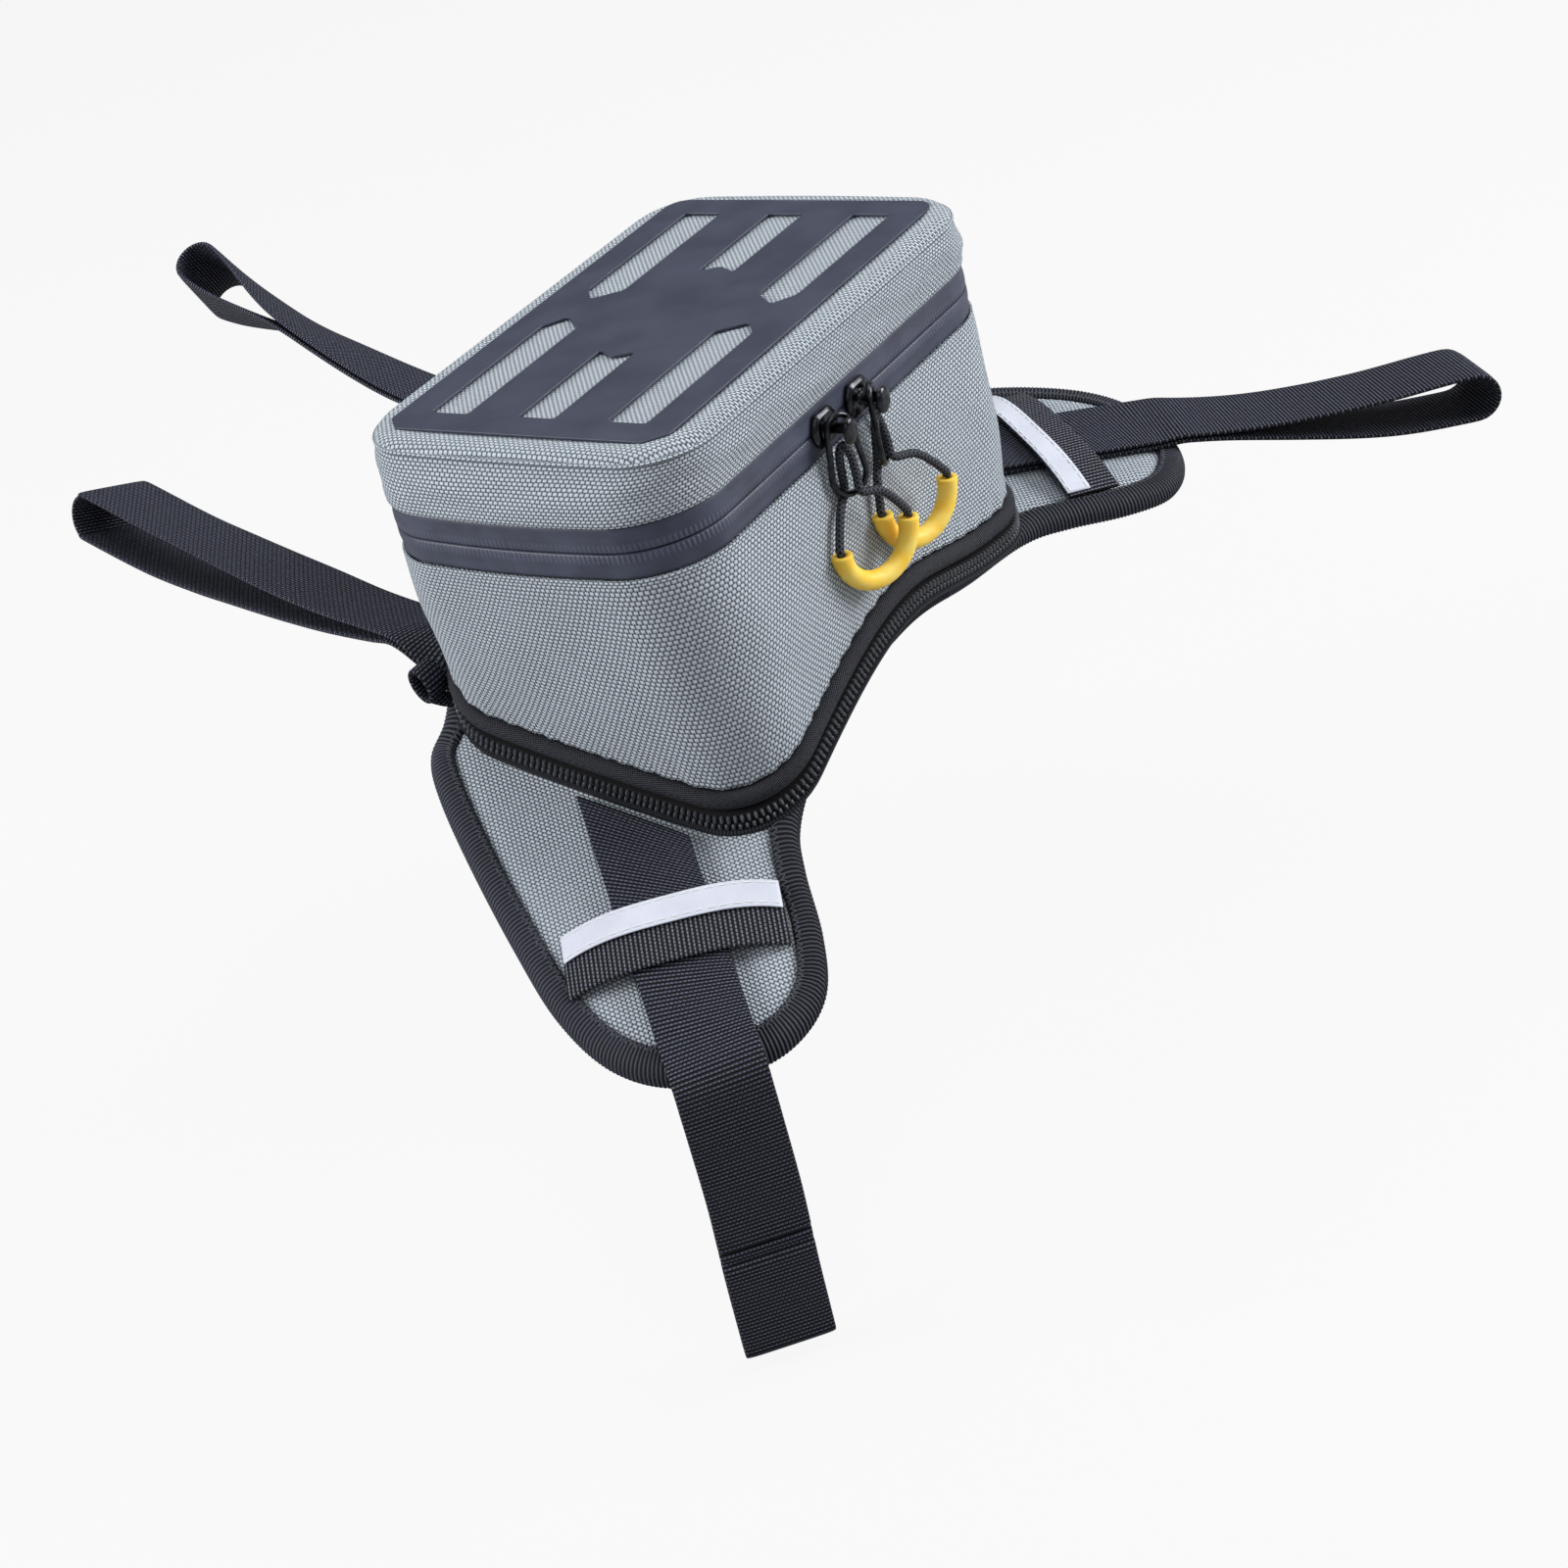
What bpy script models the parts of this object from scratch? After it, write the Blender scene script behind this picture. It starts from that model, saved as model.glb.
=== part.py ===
"""A small box-shaped motorcycle tank bag on a padded harness with four webbing straps.

+X points to the rider, +Y to the right-hand side of the bike's tank as the photograph looks at it, +Z up along
the lid's normal. The origin is on the underside of the harness, where it sits on the crown of the tank.
Lengths are metres; MM turns millimetres into metres.
"""
import math

import bmesh
import bpy
import numpy as np
from mathutils import Matrix, Vector

MM = 0.001

# Seat: the surface the harness lies on falls towards the rider and rolls off to both sides of the tank.
SEAT_FALL = 0.23
LEFT_SLOPE = 0.33
LEFT_CROWN = 40 * MM
LEFT_DROP = 14.5 * MM
LEFT_SPREAD = 95 * MM
RIGHT_DROP = 12 * MM
RIGHT_SPREAD = 40 * MM

# Bag body and lid: half width, half length, corner radius and bow of the short ends at each level.
LID_TOP_Z = 94.6 * MM
SEAM = (59.3 * MM, 89.0 * MM, 21 * MM, 2 * MM)
BAND = (58.4 * MM, 94.0 * MM, 25 * MM, 5 * MM)
BASE = (60.5 * MM, 88.0 * MM, 24 * MM, 2 * MM)
SEAM_DEPTH = 4.1 * MM
BAND_TOP = 20.6 * MM
BAND_BOTTOM = 36.7 * MM
BAND_INSET = 0.8 * MM
BASE_RISE = 19.8 * MM
SHELL_WALL = 3.0 * MM
LINER_WALL = 1.2 * MM
BAND_WALL = 2.0 * MM
GAP = 0.3 * MM

# Lid panel: outline and the six windows.
PANEL_HALF_WIDTH = 50.3 * MM
PANEL_HALF_LENGTH = 82.0 * MM
PANEL_CHAMFER = 5.5 * MM
PANEL_THICKNESS = 1.0 * MM
WINDOW_OUTER_END = 71.3 * MM
SIDE_WINDOW = (25.3 * MM, 39.0 * MM)
SIDE_WINDOW_SHOULDER = 13 * MM
SIDE_WINDOW_POINT = 6.5 * MM
MIDDLE_WINDOW = 6.6 * MM
MIDDLE_WINDOW_SHOULDER = 28 * MM
MIDDLE_WINDOW_NOTCH = 31.5 * MM

# Harness layers, measured up from the seat.
GRIP_TOP = 1.0 * MM
FOAM_TOP = 4.7 * MM
COVER_TOP = 6.0 * MM
BINDING_WIDTH = 8.0 * MM
BINDING_LOW = -0.8 * MM
BINDING_TOP = 6.1 * MM
RIGHT_STRETCH = 1.03

# Base zip and piping, measured up from the seat and out from the bag's base outline.
PIPING_RADIUS = 3.0 * MM
PIPING_RISE = 15.6 * MM
COIL_OUT = 2.6 * MM
COIL_IN = -3.4 * MM
TAPE_OUT = 2.8 * MM
TAPE_IN = -5.0 * MM
LOWER_TAPE = (6.4 * MM, 7.3 * MM)
LOWER_COIL = (7.6 * MM, 9.4 * MM)
UPPER_COIL = (9.7 * MM, 12.2 * MM)

# Webbing.
STRAP_WIDTH = 28 * MM
STRAP_THICKNESS = 1.8 * MM
STRAP_RISE = 8.7 * MM
STRAP_HALF_GAP = 1.1 * MM
STRAP_EYE = 8.0 * MM
FOLD_HALF_GAP = 2.4 * MM
WING_ORIGIN = Vector((14.6 * MM, -96 * MM))
WING_DIRECTION = Vector((0.695, -0.719))
WING_RUN = 80 * MM
WING_STRAP_START = 96.6 * MM
KEEPER_CENTRE = Vector((44.7 * MM, -127 * MM))
KEEPER_DIRECTION = Vector((0.815, 0.58)).normalized()
KEEPER_HALF_LENGTH = 33 * MM
KEEPER_WIDTH = 18.5 * MM
KEEPER_THICKNESS = 1.5 * MM
KEEPER_LIFT = 5.0 * MM
REFLECTOR_WIDTH = 8.5 * MM
REFLECTOR_THICKNESS = 0.6 * MM
CORNER_LOOP_RISE = 15 * MM

# Main zip pulls on the rider's side.
SLIDER_Y = {"left": -16 * MM, "right": 4 * MM}
SLIDER_Z = LID_TOP_Z - (BAND_TOP + BAND_BOTTOM) / 2
SLIDER_FACE_X = BAND[0] - BAND_INSET + 0.4 * MM
SLIDER_PLATE = 2.2 * MM
POST_RADIUS = 2.0 * MM
POST_LENGTH = 6.2 * MM
HEAD_THICKNESS = 1.6 * MM
BAIL_WIRE = 1.0 * MM
BAIL_TOP_RADIUS = 3.6 * MM
BAIL_FOOT_RADIUS = 5.6 * MM
BAIL_LENGTH = 15.5 * MM
BAIL_X = SLIDER_FACE_X + SLIDER_PLATE + 4.0 * MM
CORD_RADIUS = 1.35 * MM
GRIP_RADIUS = 3.1 * MM
GRIP_BEND = 13.5 * MM
GRIP_DROP = 36 * MM
GRIP_YAW = math.radians(18.6)
GRIP_X = 67.6 * MM
GRIP_SHIFT = {"left": 0.0, "right": 5 * MM}

# Mesh density along the bag's outline: straight side, corner, short end.
SIDE_STEPS = 5
CORNER_STEPS = 5
END_STEPS = 3

COLOURS = {
    "fabric": ((0.28, 0.31, 0.34), 0.85, 0.0),
    "rubber": ((0.070, 0.075, 0.100), 0.45, 0.0),
    "tape": ((0.035, 0.037, 0.045), 0.80, 0.0),
    "foam": ((0.10, 0.10, 0.11), 0.95, 0.0),
    "reflective": ((0.62, 0.65, 0.72), 0.35, 0.0),
    "metal": ((0.015, 0.015, 0.018), 0.25, 1.0),
    "amber": ((0.93, 0.50, 0.035), 0.50, 0.0),
}

for old in list(bpy.data.objects):
    bpy.data.objects.remove(old, do_unlink=True)

bag_parts = bpy.data.collections.new("tank_bag")
cutters = bpy.data.collections.new("tank_bag_cutters")
bpy.context.scene.collection.children.link(bag_parts)
bpy.context.scene.collection.children.link(cutters)


def make_material(name):
    """One Principled material for a kind of surface."""
    colour, roughness, metallic = COLOURS[name]
    material = bpy.data.materials.new(name)
    material.use_nodes = True
    shader = material.node_tree.nodes["Principled BSDF"]
    shader.inputs["Base Color"].default_value = (*colour, 1.0)
    shader.inputs["Roughness"].default_value = roughness
    shader.inputs["Metallic"].default_value = metallic
    return material


MATERIALS = {name: make_material(name) for name in COLOURS}


def add_part(name, mesh, surface, smooth=True):
    """Puts a mesh in the bag's collection as one named part."""
    part = bpy.data.objects.new(name, mesh)
    bag_parts.objects.link(part)
    mesh.materials.clear()
    mesh.materials.append(MATERIALS[surface])
    if smooth:
        mesh.shade_smooth()
        mesh.set_sharp_from_angle(angle=math.radians(35))
    return part


def seat_drop(y):
    """How far the tank's surface has fallen at a distance y from its crown."""
    y = np.asarray(y, dtype=float)
    left = LEFT_SLOPE * (np.sqrt(y * y + LEFT_CROWN**2) - LEFT_CROWN)
    left += LEFT_DROP * (1.0 - np.exp(-((y / LEFT_SPREAD) ** 2)))
    right = RIGHT_DROP * (1.0 - np.exp(-((y / RIGHT_SPREAD) ** 2)))
    return np.where(y < 0, left, right)


def seat(x, y):
    """Height of the tank's surface under the harness."""
    return -SEAT_FALL * np.asarray(x, dtype=float) - seat_drop(y)


def bag_loop(half_width, half_length, corner, bow, out=0.0):
    """Closed outline of the bag in plan, counter-clockwise from the middle of the left end.

    A rounded rectangle, grown by out, whose short ends are bowed outwards like a parabola.
    """
    half_width += out
    half_length += out
    corner += out
    side = [(half_width, y) for y in np.linspace(0, half_length - corner, SIDE_STEPS, endpoint=False)]
    turn = np.linspace(0, math.pi / 2, CORNER_STEPS, endpoint=False)
    arc = [(half_width - corner + corner * math.cos(t), half_length - corner + corner * math.sin(t)) for t in turn]
    end = [(x, half_length) for x in np.linspace(half_width - corner, 0, END_STEPS + 1)]
    quarter = np.array(side + arc + end)
    quarter[:, 1] += bow * (1 - (quarter[:, 0] / half_width) ** 2)
    rider_side = np.vstack([quarter[:0:-1] * (1, -1), quarter])
    return np.vstack([rider_side, rider_side[-2:0:-1] * (-1, 1)])


def level(loop, z):
    """The outline at one height."""
    return np.column_stack([loop, np.full(len(loop), z)])


def on_seat(loop, rise):
    """The outline draped at a rise above the seat."""
    return np.column_stack([loop, seat(loop[:, 0], loop[:, 1]) + rise])


def cap_faces(first, count, upward):
    """Strips across a mirrored outline, from each point to its mirror point."""
    last = count // 2
    faces = [(0, 1, count - 1), (last - 1, last, last + 1)]
    faces += [(i, i + 1, count - i - 1, count - i) for i in range(1, last - 1)]
    if not upward:
        faces = [face[::-1] for face in faces]
    return [tuple(first + i for i in face) for face in faces]


def loft(name, loops, floor=False, roof=False, ring=False):
    """Skin through outlines listed from the bottom up, with optional caps, or closed into a ring."""
    count = len(loops[0])
    pairs = [(k, k + 1) for k in range(len(loops) - 1)]
    if ring:
        pairs.append((len(loops) - 1, 0))
    faces = []
    for a, b in pairs:
        for i in range(count):
            j = (i + 1) % count
            faces.append((a * count + i, a * count + j, b * count + j, b * count + i))
    if floor:
        faces += cap_faces(0, count, upward=False)
    if roof:
        faces += cap_faces((len(loops) - 1) * count, count, upward=True)
    mesh = bpy.data.meshes.new(name)
    mesh.from_pydata(np.vstack(loops).tolist(), [], faces)
    return mesh


def add_wall(part, thickness):
    """Gives an open skin its wall, inwards from the skin."""
    wall = part.modifiers.new("wall", "SOLIDIFY")
    wall.thickness = thickness
    wall.offset = -1.0
    wall.use_even_offset = True


def curve_mesh(name, splines, flat=False, cyclic=True, extrude=0.0, bevel=0.0, resolution=2):
    """Mesh of a curve made of straight-pointed splines: a filled flat outline, or a round wire."""
    curve = bpy.data.curves.new(name, "CURVE")
    curve.dimensions = "2D" if flat else "3D"
    if flat:
        curve.fill_mode = "BOTH"
    curve.extrude = extrude
    curve.bevel_depth = bevel
    curve.bevel_resolution = resolution
    curve.use_fill_caps = True
    for points in splines:
        spline = curve.splines.new("POLY")
        spline.points.add(len(points) - 1)
        for target, point in zip(spline.points, points):
            target.co = (*point, 0.0, 1.0) if len(point) == 2 else (*point, 1.0)
        spline.use_cyclic_u = cyclic
    holder = bpy.data.objects.new(name, curve)
    bpy.context.scene.collection.objects.link(holder)
    evaluated = holder.evaluated_get(bpy.context.evaluated_depsgraph_get())
    mesh = bpy.data.meshes.new_from_object(evaluated)
    bpy.data.objects.remove(holder, do_unlink=True)
    bpy.data.curves.remove(curve)
    work = bmesh.new()
    work.from_mesh(mesh)
    bmesh.ops.remove_doubles(work, verts=work.verts, dist=0.00001)
    bmesh.ops.recalc_face_normals(work, faces=work.faces)
    work.to_mesh(mesh)
    work.free()
    mesh.name = name
    return mesh


def smooth_closed(points, steps):
    """Closed Catmull-Rom curve through the points, with a few steps between each pair."""
    points = np.asarray(points, dtype=float)
    before = np.roll(points, 1, axis=0)
    after = np.roll(points, -1, axis=0)
    beyond = np.roll(points, -2, axis=0)
    samples = []
    for t in np.linspace(0, 1, steps, endpoint=False):
        samples.append(0.5 * (2 * points + (after - before) * t
                              + (2 * before - 5 * points + 4 * after - beyond) * t**2
                              + (3 * points - before - 3 * after + beyond) * t**3))
    return np.stack(samples, axis=1).reshape(-1, points.shape[1])


def smooth_open(points, samples):
    """Catmull-Rom curve through the points, evenly sampled along its length."""
    points = np.asarray(points, dtype=float)
    padded = np.vstack([2 * points[0] - points[1], points, 2 * points[-1] - points[-2]])
    fine = []
    for p0, p1, p2, p3 in zip(padded, padded[1:], padded[2:], padded[3:]):
        for t in np.linspace(0, 1, 24, endpoint=False):
            fine.append(0.5 * (2 * p1 + (p2 - p0) * t + (2 * p0 - 5 * p1 + 4 * p2 - p3) * t**2
                               + (3 * p1 - p0 - 3 * p2 + p3) * t**3))
    fine = np.array(fine + [points[-1]])
    run = np.concatenate([[0], np.cumsum(np.linalg.norm(np.diff(fine, axis=0), axis=1))])
    places = np.linspace(0, run[-1], samples)
    return np.column_stack([np.interp(places, run, fine[:, k]) for k in range(fine.shape[1])])


def unit(vectors):
    """Rows scaled to length one."""
    return vectors / np.linalg.norm(vectors, axis=-1, keepdims=True)


# Harness

def harness_outline():
    """Outer edge of the harness in plan: a waist on the rider's side, a wing at each rear corner."""
    half = np.array([
        (59.5, 0), (58.4, -30), (58.3, -60), (61.5, -78), (69, -90.4), (82, -106.3), (90, -121.5), (88.5, -136.5),
        (79.5, -149.5), (61, -162), (41, -164.5), (19, -157), (-5, -141.5), (-31, -122.5), (-50, -107), (-58.5, -97),
        (-60, -86), (-64, -74), (-68, -60), (-69, -30), (-69, 0),
    ]) * MM
    mirrored = half[-2:0:-1] * (1, -RIGHT_STRETCH)
    outline = smooth_closed(np.vstack([half, mirrored])[::-1], 2)
    return outline


def outward(outline):
    """Outward normals of a counter-clockwise outline in plan."""
    along = np.roll(outline, -1, axis=0) - np.roll(outline, 1, axis=0)
    return unit(np.column_stack([along[:, 1], -along[:, 0]]))


def harness_plate(name, surface, low, high):
    """One layer of the harness, cut into strips across the tank and draped over the seat."""
    edge = harness_outline()
    inner = edge - outward(edge) * (BINDING_WIDTH + GAP)
    work = bmesh.new()
    work.faces.new([work.verts.new((x, y, 0.0)) for x, y in inner])
    for y in np.arange(-144, 150, 12) * MM:
        geometry = work.verts[:] + work.edges[:] + work.faces[:]
        bmesh.ops.bisect_plane(work, geom=geometry, plane_co=(0, y, 0), plane_no=(0, 1, 0))
    bmesh.ops.recalc_face_normals(work, faces=work.faces)
    if work.faces[:][0].normal.z > 0:
        bmesh.ops.reverse_faces(work, faces=work.faces)
    lower = list(work.verts)
    raised = bmesh.ops.extrude_face_region(work, geom=work.faces[:], use_keep_orig=True)["geom"]
    upper = [item for item in raised if isinstance(item, bmesh.types.BMVert)]
    for group, rise in ((lower, low), (upper, high)):
        for vertex in group:
            vertex.co.z = float(seat(vertex.co.x, vertex.co.y)) + rise
    bmesh.ops.recalc_face_normals(work, faces=work.faces)
    mesh = bpy.data.meshes.new(name)
    work.to_mesh(mesh)
    work.free()
    return add_part(name, mesh, surface)


def edge_ring(name, surface, sections):
    """A band along the harness edge; each section point is (distance out, rise)."""
    edge = harness_outline()
    normals = outward(edge)
    loops = [on_seat(edge + normals * out, rise) for out, rise in sections]
    return add_part(name, loft(name, loops, ring=True), surface)


harness_plate("harness_grip_sheet", "rubber", 0.0, GRIP_TOP)
harness_plate("harness_foam", "foam", GRIP_TOP + GAP, FOAM_TOP)
harness_plate("harness_cover", "fabric", FOAM_TOP + GAP, COVER_TOP)
edge_ring("harness_binding", "tape", [
    (-1.2 * MM, BINDING_LOW),
    (0.0, BINDING_LOW + 1.6 * MM),
    (0.0, BINDING_TOP - 1.6 * MM),
    (-1.2 * MM, BINDING_TOP),
    (-BINDING_WIDTH, BINDING_TOP),
    (-BINDING_WIDTH, BINDING_LOW),
])


# Base zip

def base_ring(name, surface, low, high, inside, outside):
    """A flat-sided ring round the bag's base, draped over the seat."""
    sections = ((outside, low), (outside, high), (inside, high), (inside, low))
    loops = [on_seat(bag_loop(*BASE, out=out), rise) for out, rise in sections]
    return add_part(name, loft(name, loops, ring=True), surface)


base_ring("base_zip_lower_tape", "tape", *LOWER_TAPE, TAPE_IN, TAPE_OUT)
base_ring("base_zip_lower_coil", "tape", *LOWER_COIL, COIL_IN, COIL_OUT)
base_ring("base_zip_upper_coil", "tape", *UPPER_COIL, COIL_IN, COIL_OUT)
piping_path = on_seat(bag_loop(*BASE, out=-0.5 * MM), PIPING_RISE)
add_part("base_piping", curve_mesh("base_piping", [piping_path], bevel=PIPING_RADIUS), "tape")


# Bag body and lid

def bag_skin(outline, depth, out=0.0):
    """Outline of a body or lid section at a depth under the lid's top."""
    return level(bag_loop(*outline, out=out), LID_TOP_Z - depth)


def between(lower, upper, share):
    """Outline between two others."""
    return lower + (upper - lower) * share


def bag_walls(out=0.0, base_rise=BASE_RISE, top=BAND_BOTTOM + GAP):
    """Wall outlines from the base up to the zip band, with a slight belly half way."""
    foot = on_seat(bag_loop(*BASE, out=out), base_rise)
    head = bag_skin(BAND, top, out)
    belly = between(foot, head, 0.5)
    belly[:, :2] += unit(belly[:, :2]) * 0.8 * MM
    return [foot, belly, bag_skin(BAND, top + 2.5 * MM, out), head]


recess = [on_seat(bag_loop(*BASE, out=out * MM), rise * MM)
          for out, rise in ((-9.5, 6.8), (-7.5, 8.2), (-7.0, 13.0), (-5.2, 17.2))]
shell = add_part("bag_shell", loft("bag_shell", recess + bag_walls(), floor=True), "fabric")
add_wall(shell, SHELL_WALL)

liner_out = -(SHELL_WALL + 2 * GAP)
liner_walls = bag_walls(liner_out, BASE_RISE + 4.5 * MM)
liner_walls.append(bag_skin(BAND, (BAND_TOP + BAND_BOTTOM) / 2 + 0.5 * MM, liner_out))
liner = add_part("bag_liner", loft("bag_liner", liner_walls), "foam")
add_wall(liner, LINER_WALL)

board = [on_seat(bag_loop(*BASE, out=-14 * MM), rise * MM) for rise in (10.3, 12.3)]
add_part("bottom_board", loft("bottom_board", board, floor=True, roof=True), "foam")

split = (BAND_TOP + BAND_BOTTOM) / 2
for name, top, bottom in (("zip_band_upper", BAND_TOP, split - GAP), ("zip_band_lower", split + GAP, BAND_BOTTOM)):
    skins = [bag_skin(BAND, bottom, -BAND_INSET), bag_skin(BAND, top, -BAND_INSET)]
    band = add_part(name, loft(name, skins), "rubber")
    add_wall(band, BAND_WALL)

lid_skins = [
    bag_skin(BAND, BAND_TOP - GAP),
    bag_skin(BAND, BAND_TOP - 1.5 * MM),
    between(bag_skin(BAND, BAND_TOP - GAP), bag_skin(SEAM, SEAM_DEPTH), 0.55),
    bag_skin(SEAM, SEAM_DEPTH),
    bag_skin(SEAM, 2.4 * MM, -1.3 * MM),
    bag_skin(SEAM, 1.5 * MM, -4.0 * MM),
    bag_skin(SEAM, PANEL_THICKNESS + GAP, -8.0 * MM),
]
lid = add_part("lid_shell", loft("lid_shell", lid_skins, roof=True), "fabric")
add_wall(lid, SHELL_WALL)
lid_liner_skins = [
    bag_skin(BAND, split - 0.5 * MM, liner_out),
    bag_skin(BAND, BAND_TOP, liner_out),
    bag_skin(SEAM, SEAM_DEPTH + 4.5 * MM, liner_out - 0.4 * MM),
    bag_skin(SEAM, SEAM_DEPTH + 1.4 * MM, -9.0 * MM),
]
lid_liner = add_part("lid_liner", loft("lid_liner", lid_liner_skins, roof=True), "foam")
add_wall(lid_liner, LINER_WALL)


def panel_window(points, mirror_x, mirror_y):
    """One window outline, mirrored into its place on the panel."""
    return [(x * mirror_x, y * mirror_y) for x, y in points]


def lid_panel():
    """The panel's outline with chamfered corners and its six windows as one flat filled curve."""
    w, l, c = PANEL_HALF_WIDTH, PANEL_HALF_LENGTH, PANEL_CHAMFER
    outline = [(w, l - c), (w - c, l), (c - w, l), (-w, l - c), (-w, c - l), (c - w, -l), (w - c, -l), (w, c - l)]
    near, far = SIDE_WINDOW
    side = [(near, WINDOW_OUTER_END), (far, WINDOW_OUTER_END), (far, SIDE_WINDOW_SHOULDER),
            ((near + far) / 2 + 1.5 * MM, SIDE_WINDOW_POINT), (near, SIDE_WINDOW_SHOULDER)]
    middle = [(-MIDDLE_WINDOW, WINDOW_OUTER_END), (MIDDLE_WINDOW, WINDOW_OUTER_END),
              (MIDDLE_WINDOW, MIDDLE_WINDOW_SHOULDER), (0, MIDDLE_WINDOW_NOTCH),
              (-MIDDLE_WINDOW, MIDDLE_WINDOW_SHOULDER)]
    splines = [outline]
    for end in (1, -1):
        splines += [panel_window(side, 1, end), panel_window(side, -1, end), panel_window(middle, 1, end)]
    mesh = curve_mesh("lid_panel", splines, flat=True, extrude=PANEL_THICKNESS / 2)
    panel = add_part("lid_panel", mesh, "rubber", smooth=False)
    panel.location.z = LID_TOP_Z - PANEL_THICKNESS / 2
    return panel


lid_panel()

strip_x = -(BAND[0] - BAND_INSET + GAP + 0.5 * MM)
strip_box = bmesh.new()
strip_size = Matrix.Diagonal((1.0 * MM, 110 * MM, BAND_BOTTOM - BAND_TOP - 1.0 * MM, 1.0))
bmesh.ops.create_cube(strip_box, size=1.0, matrix=strip_size)
strip_mesh = bpy.data.meshes.new("lid_hinge_strip")
strip_box.to_mesh(strip_mesh)
strip_box.free()
strip = add_part("lid_hinge_strip", strip_mesh, "tape", smooth=False)
strip.location = (strip_x, 0, LID_TOP_Z - split)


# Straps

def ribbon(name, edge_a, edge_b, thickness, surface):
    """Flat webbing between two edge lines, with square ends."""
    width = edge_b - edge_a
    along = np.gradient((edge_a + edge_b) / 2, axis=0)
    normal = unit(np.cross(along, width)) * thickness / 2
    corners = [edge_a - normal, edge_b - normal, edge_b + normal, edge_a + normal]
    count = len(edge_a)
    faces = [(3 * count, 2 * count, count, 0), tuple(k * count + count - 1 for k in range(4))]
    for side in range(4):
        a, b = side * count, (side + 1) % 4 * count
        faces += [(a + i, b + i, b + i + 1, a + i + 1) for i in range(count - 1)]
    mesh = bpy.data.meshes.new(name)
    mesh.from_pydata(np.vstack(corners).tolist(), [], faces)
    work = bmesh.new()
    work.from_mesh(mesh)
    bmesh.ops.recalc_face_normals(work, faces=work.faces)
    work.to_mesh(mesh)
    work.free()
    return add_part(name, mesh, surface, smooth=False)


def doubled_strap(name, edge_a, edge_b, straight, eye=STRAP_EYE):
    """Webbing that runs out along the lower line, turns round an eye and comes back along the upper line.

    The two layers lie together over the first share of the run, straight, and then part to form the eye.
    """
    width = edge_b - edge_a
    along = unit(np.gradient((edge_a + edge_b) / 2, axis=0))
    normal = unit(np.cross(along, width))
    normal *= np.where(normal[:, 2:] < 0, -1, 1) if abs(normal[0, 2]) > 0.3 else 1
    share = np.clip((np.linspace(0, 1, len(edge_a)) - straight) / (1 - straight), 0, 1)
    half_gap = STRAP_HALF_GAP + (eye - STRAP_HALF_GAP) * share**2 * (3 - 2 * share)
    spread = normal * half_gap[:, None]
    turn = np.linspace(0, math.pi, 9)[1:-1, None]
    bend = eye * (np.sin(turn) * along[-1] - np.cos(turn) * normal[-1])
    line_a = np.vstack([edge_a - spread, edge_a[-1] + bend, (edge_a + spread)[::-1]])
    line_b = np.vstack([edge_b - spread, edge_b[-1] + bend, (edge_b + spread)[::-1]])
    return ribbon(name, line_a, line_b, STRAP_THICKNESS, "tape")


def wing_edges(side):
    """Edge lines of a rear strap on its wing; side is -1 on the left wing and 1 on the right one."""
    along = np.array(WING_DIRECTION)
    across = np.array((-along[1], along[0]))
    lines = []
    for offset in (-STRAP_WIDTH / 2, STRAP_WIDTH / 2):
        first = np.array(WING_ORIGIN) + across * offset
        start = (WING_STRAP_START + first[1]) / -along[1]
        runs = np.linspace(start, WING_RUN, 13)[:, None]
        plan = (first + along * runs) * (1, -side)
        lines.append(np.column_stack([plan, seat(plan[:, 0], plan[:, 1]) + STRAP_RISE]))
    return lines


def free_edges(points, tilts, samples):
    """Edge lines of a strap along a free route; a tilt lifts its right-hand edge, in degrees.

    The sewn end is cut along the bag's side, and the webbing is square to its route a little further on.
    """
    route = smooth_open(np.column_stack([np.array(points) * MM, np.radians(tilts)]), samples)
    centre, tilt = route[:, :3], route[:, 3:]
    along = unit(np.gradient(centre, axis=0))
    level_side = np.cross(along, (0, 0, 1))
    level_side[:, 0] *= np.clip(np.arange(samples) / 2, 0, 1)
    level_side = unit(level_side)
    lift = unit(np.cross(level_side, along))
    half = (np.cos(tilt) * level_side + np.sin(tilt) * lift) * STRAP_WIDTH / 2
    return centre - half, centre + half


def rear_strap(name, side, points, samples, straight, eye):
    """A rear strap: draped on its wing, then free. The free points start past the wing's tip."""
    wing_a, wing_b = wing_edges(side)
    tip = (wing_a[-1] + wing_b[-1]) / 2 / MM
    across = wing_b[-1] - wing_a[-1]
    route = smooth_open(np.vstack([tip, points]) * MM, samples)
    flat = unit(np.array((across[0], across[1], 0.0)))
    blend = np.linspace(1, 0, samples)[:, None] ** 3
    half = (flat * STRAP_WIDTH * (1 - blend) + across * blend) / 2
    edge_a = np.vstack([wing_a, (route - half)[1:]])
    edge_b = np.vstack([wing_b, (route + half)[1:]])
    return doubled_strap(name, edge_a, edge_b, straight, eye)


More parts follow.
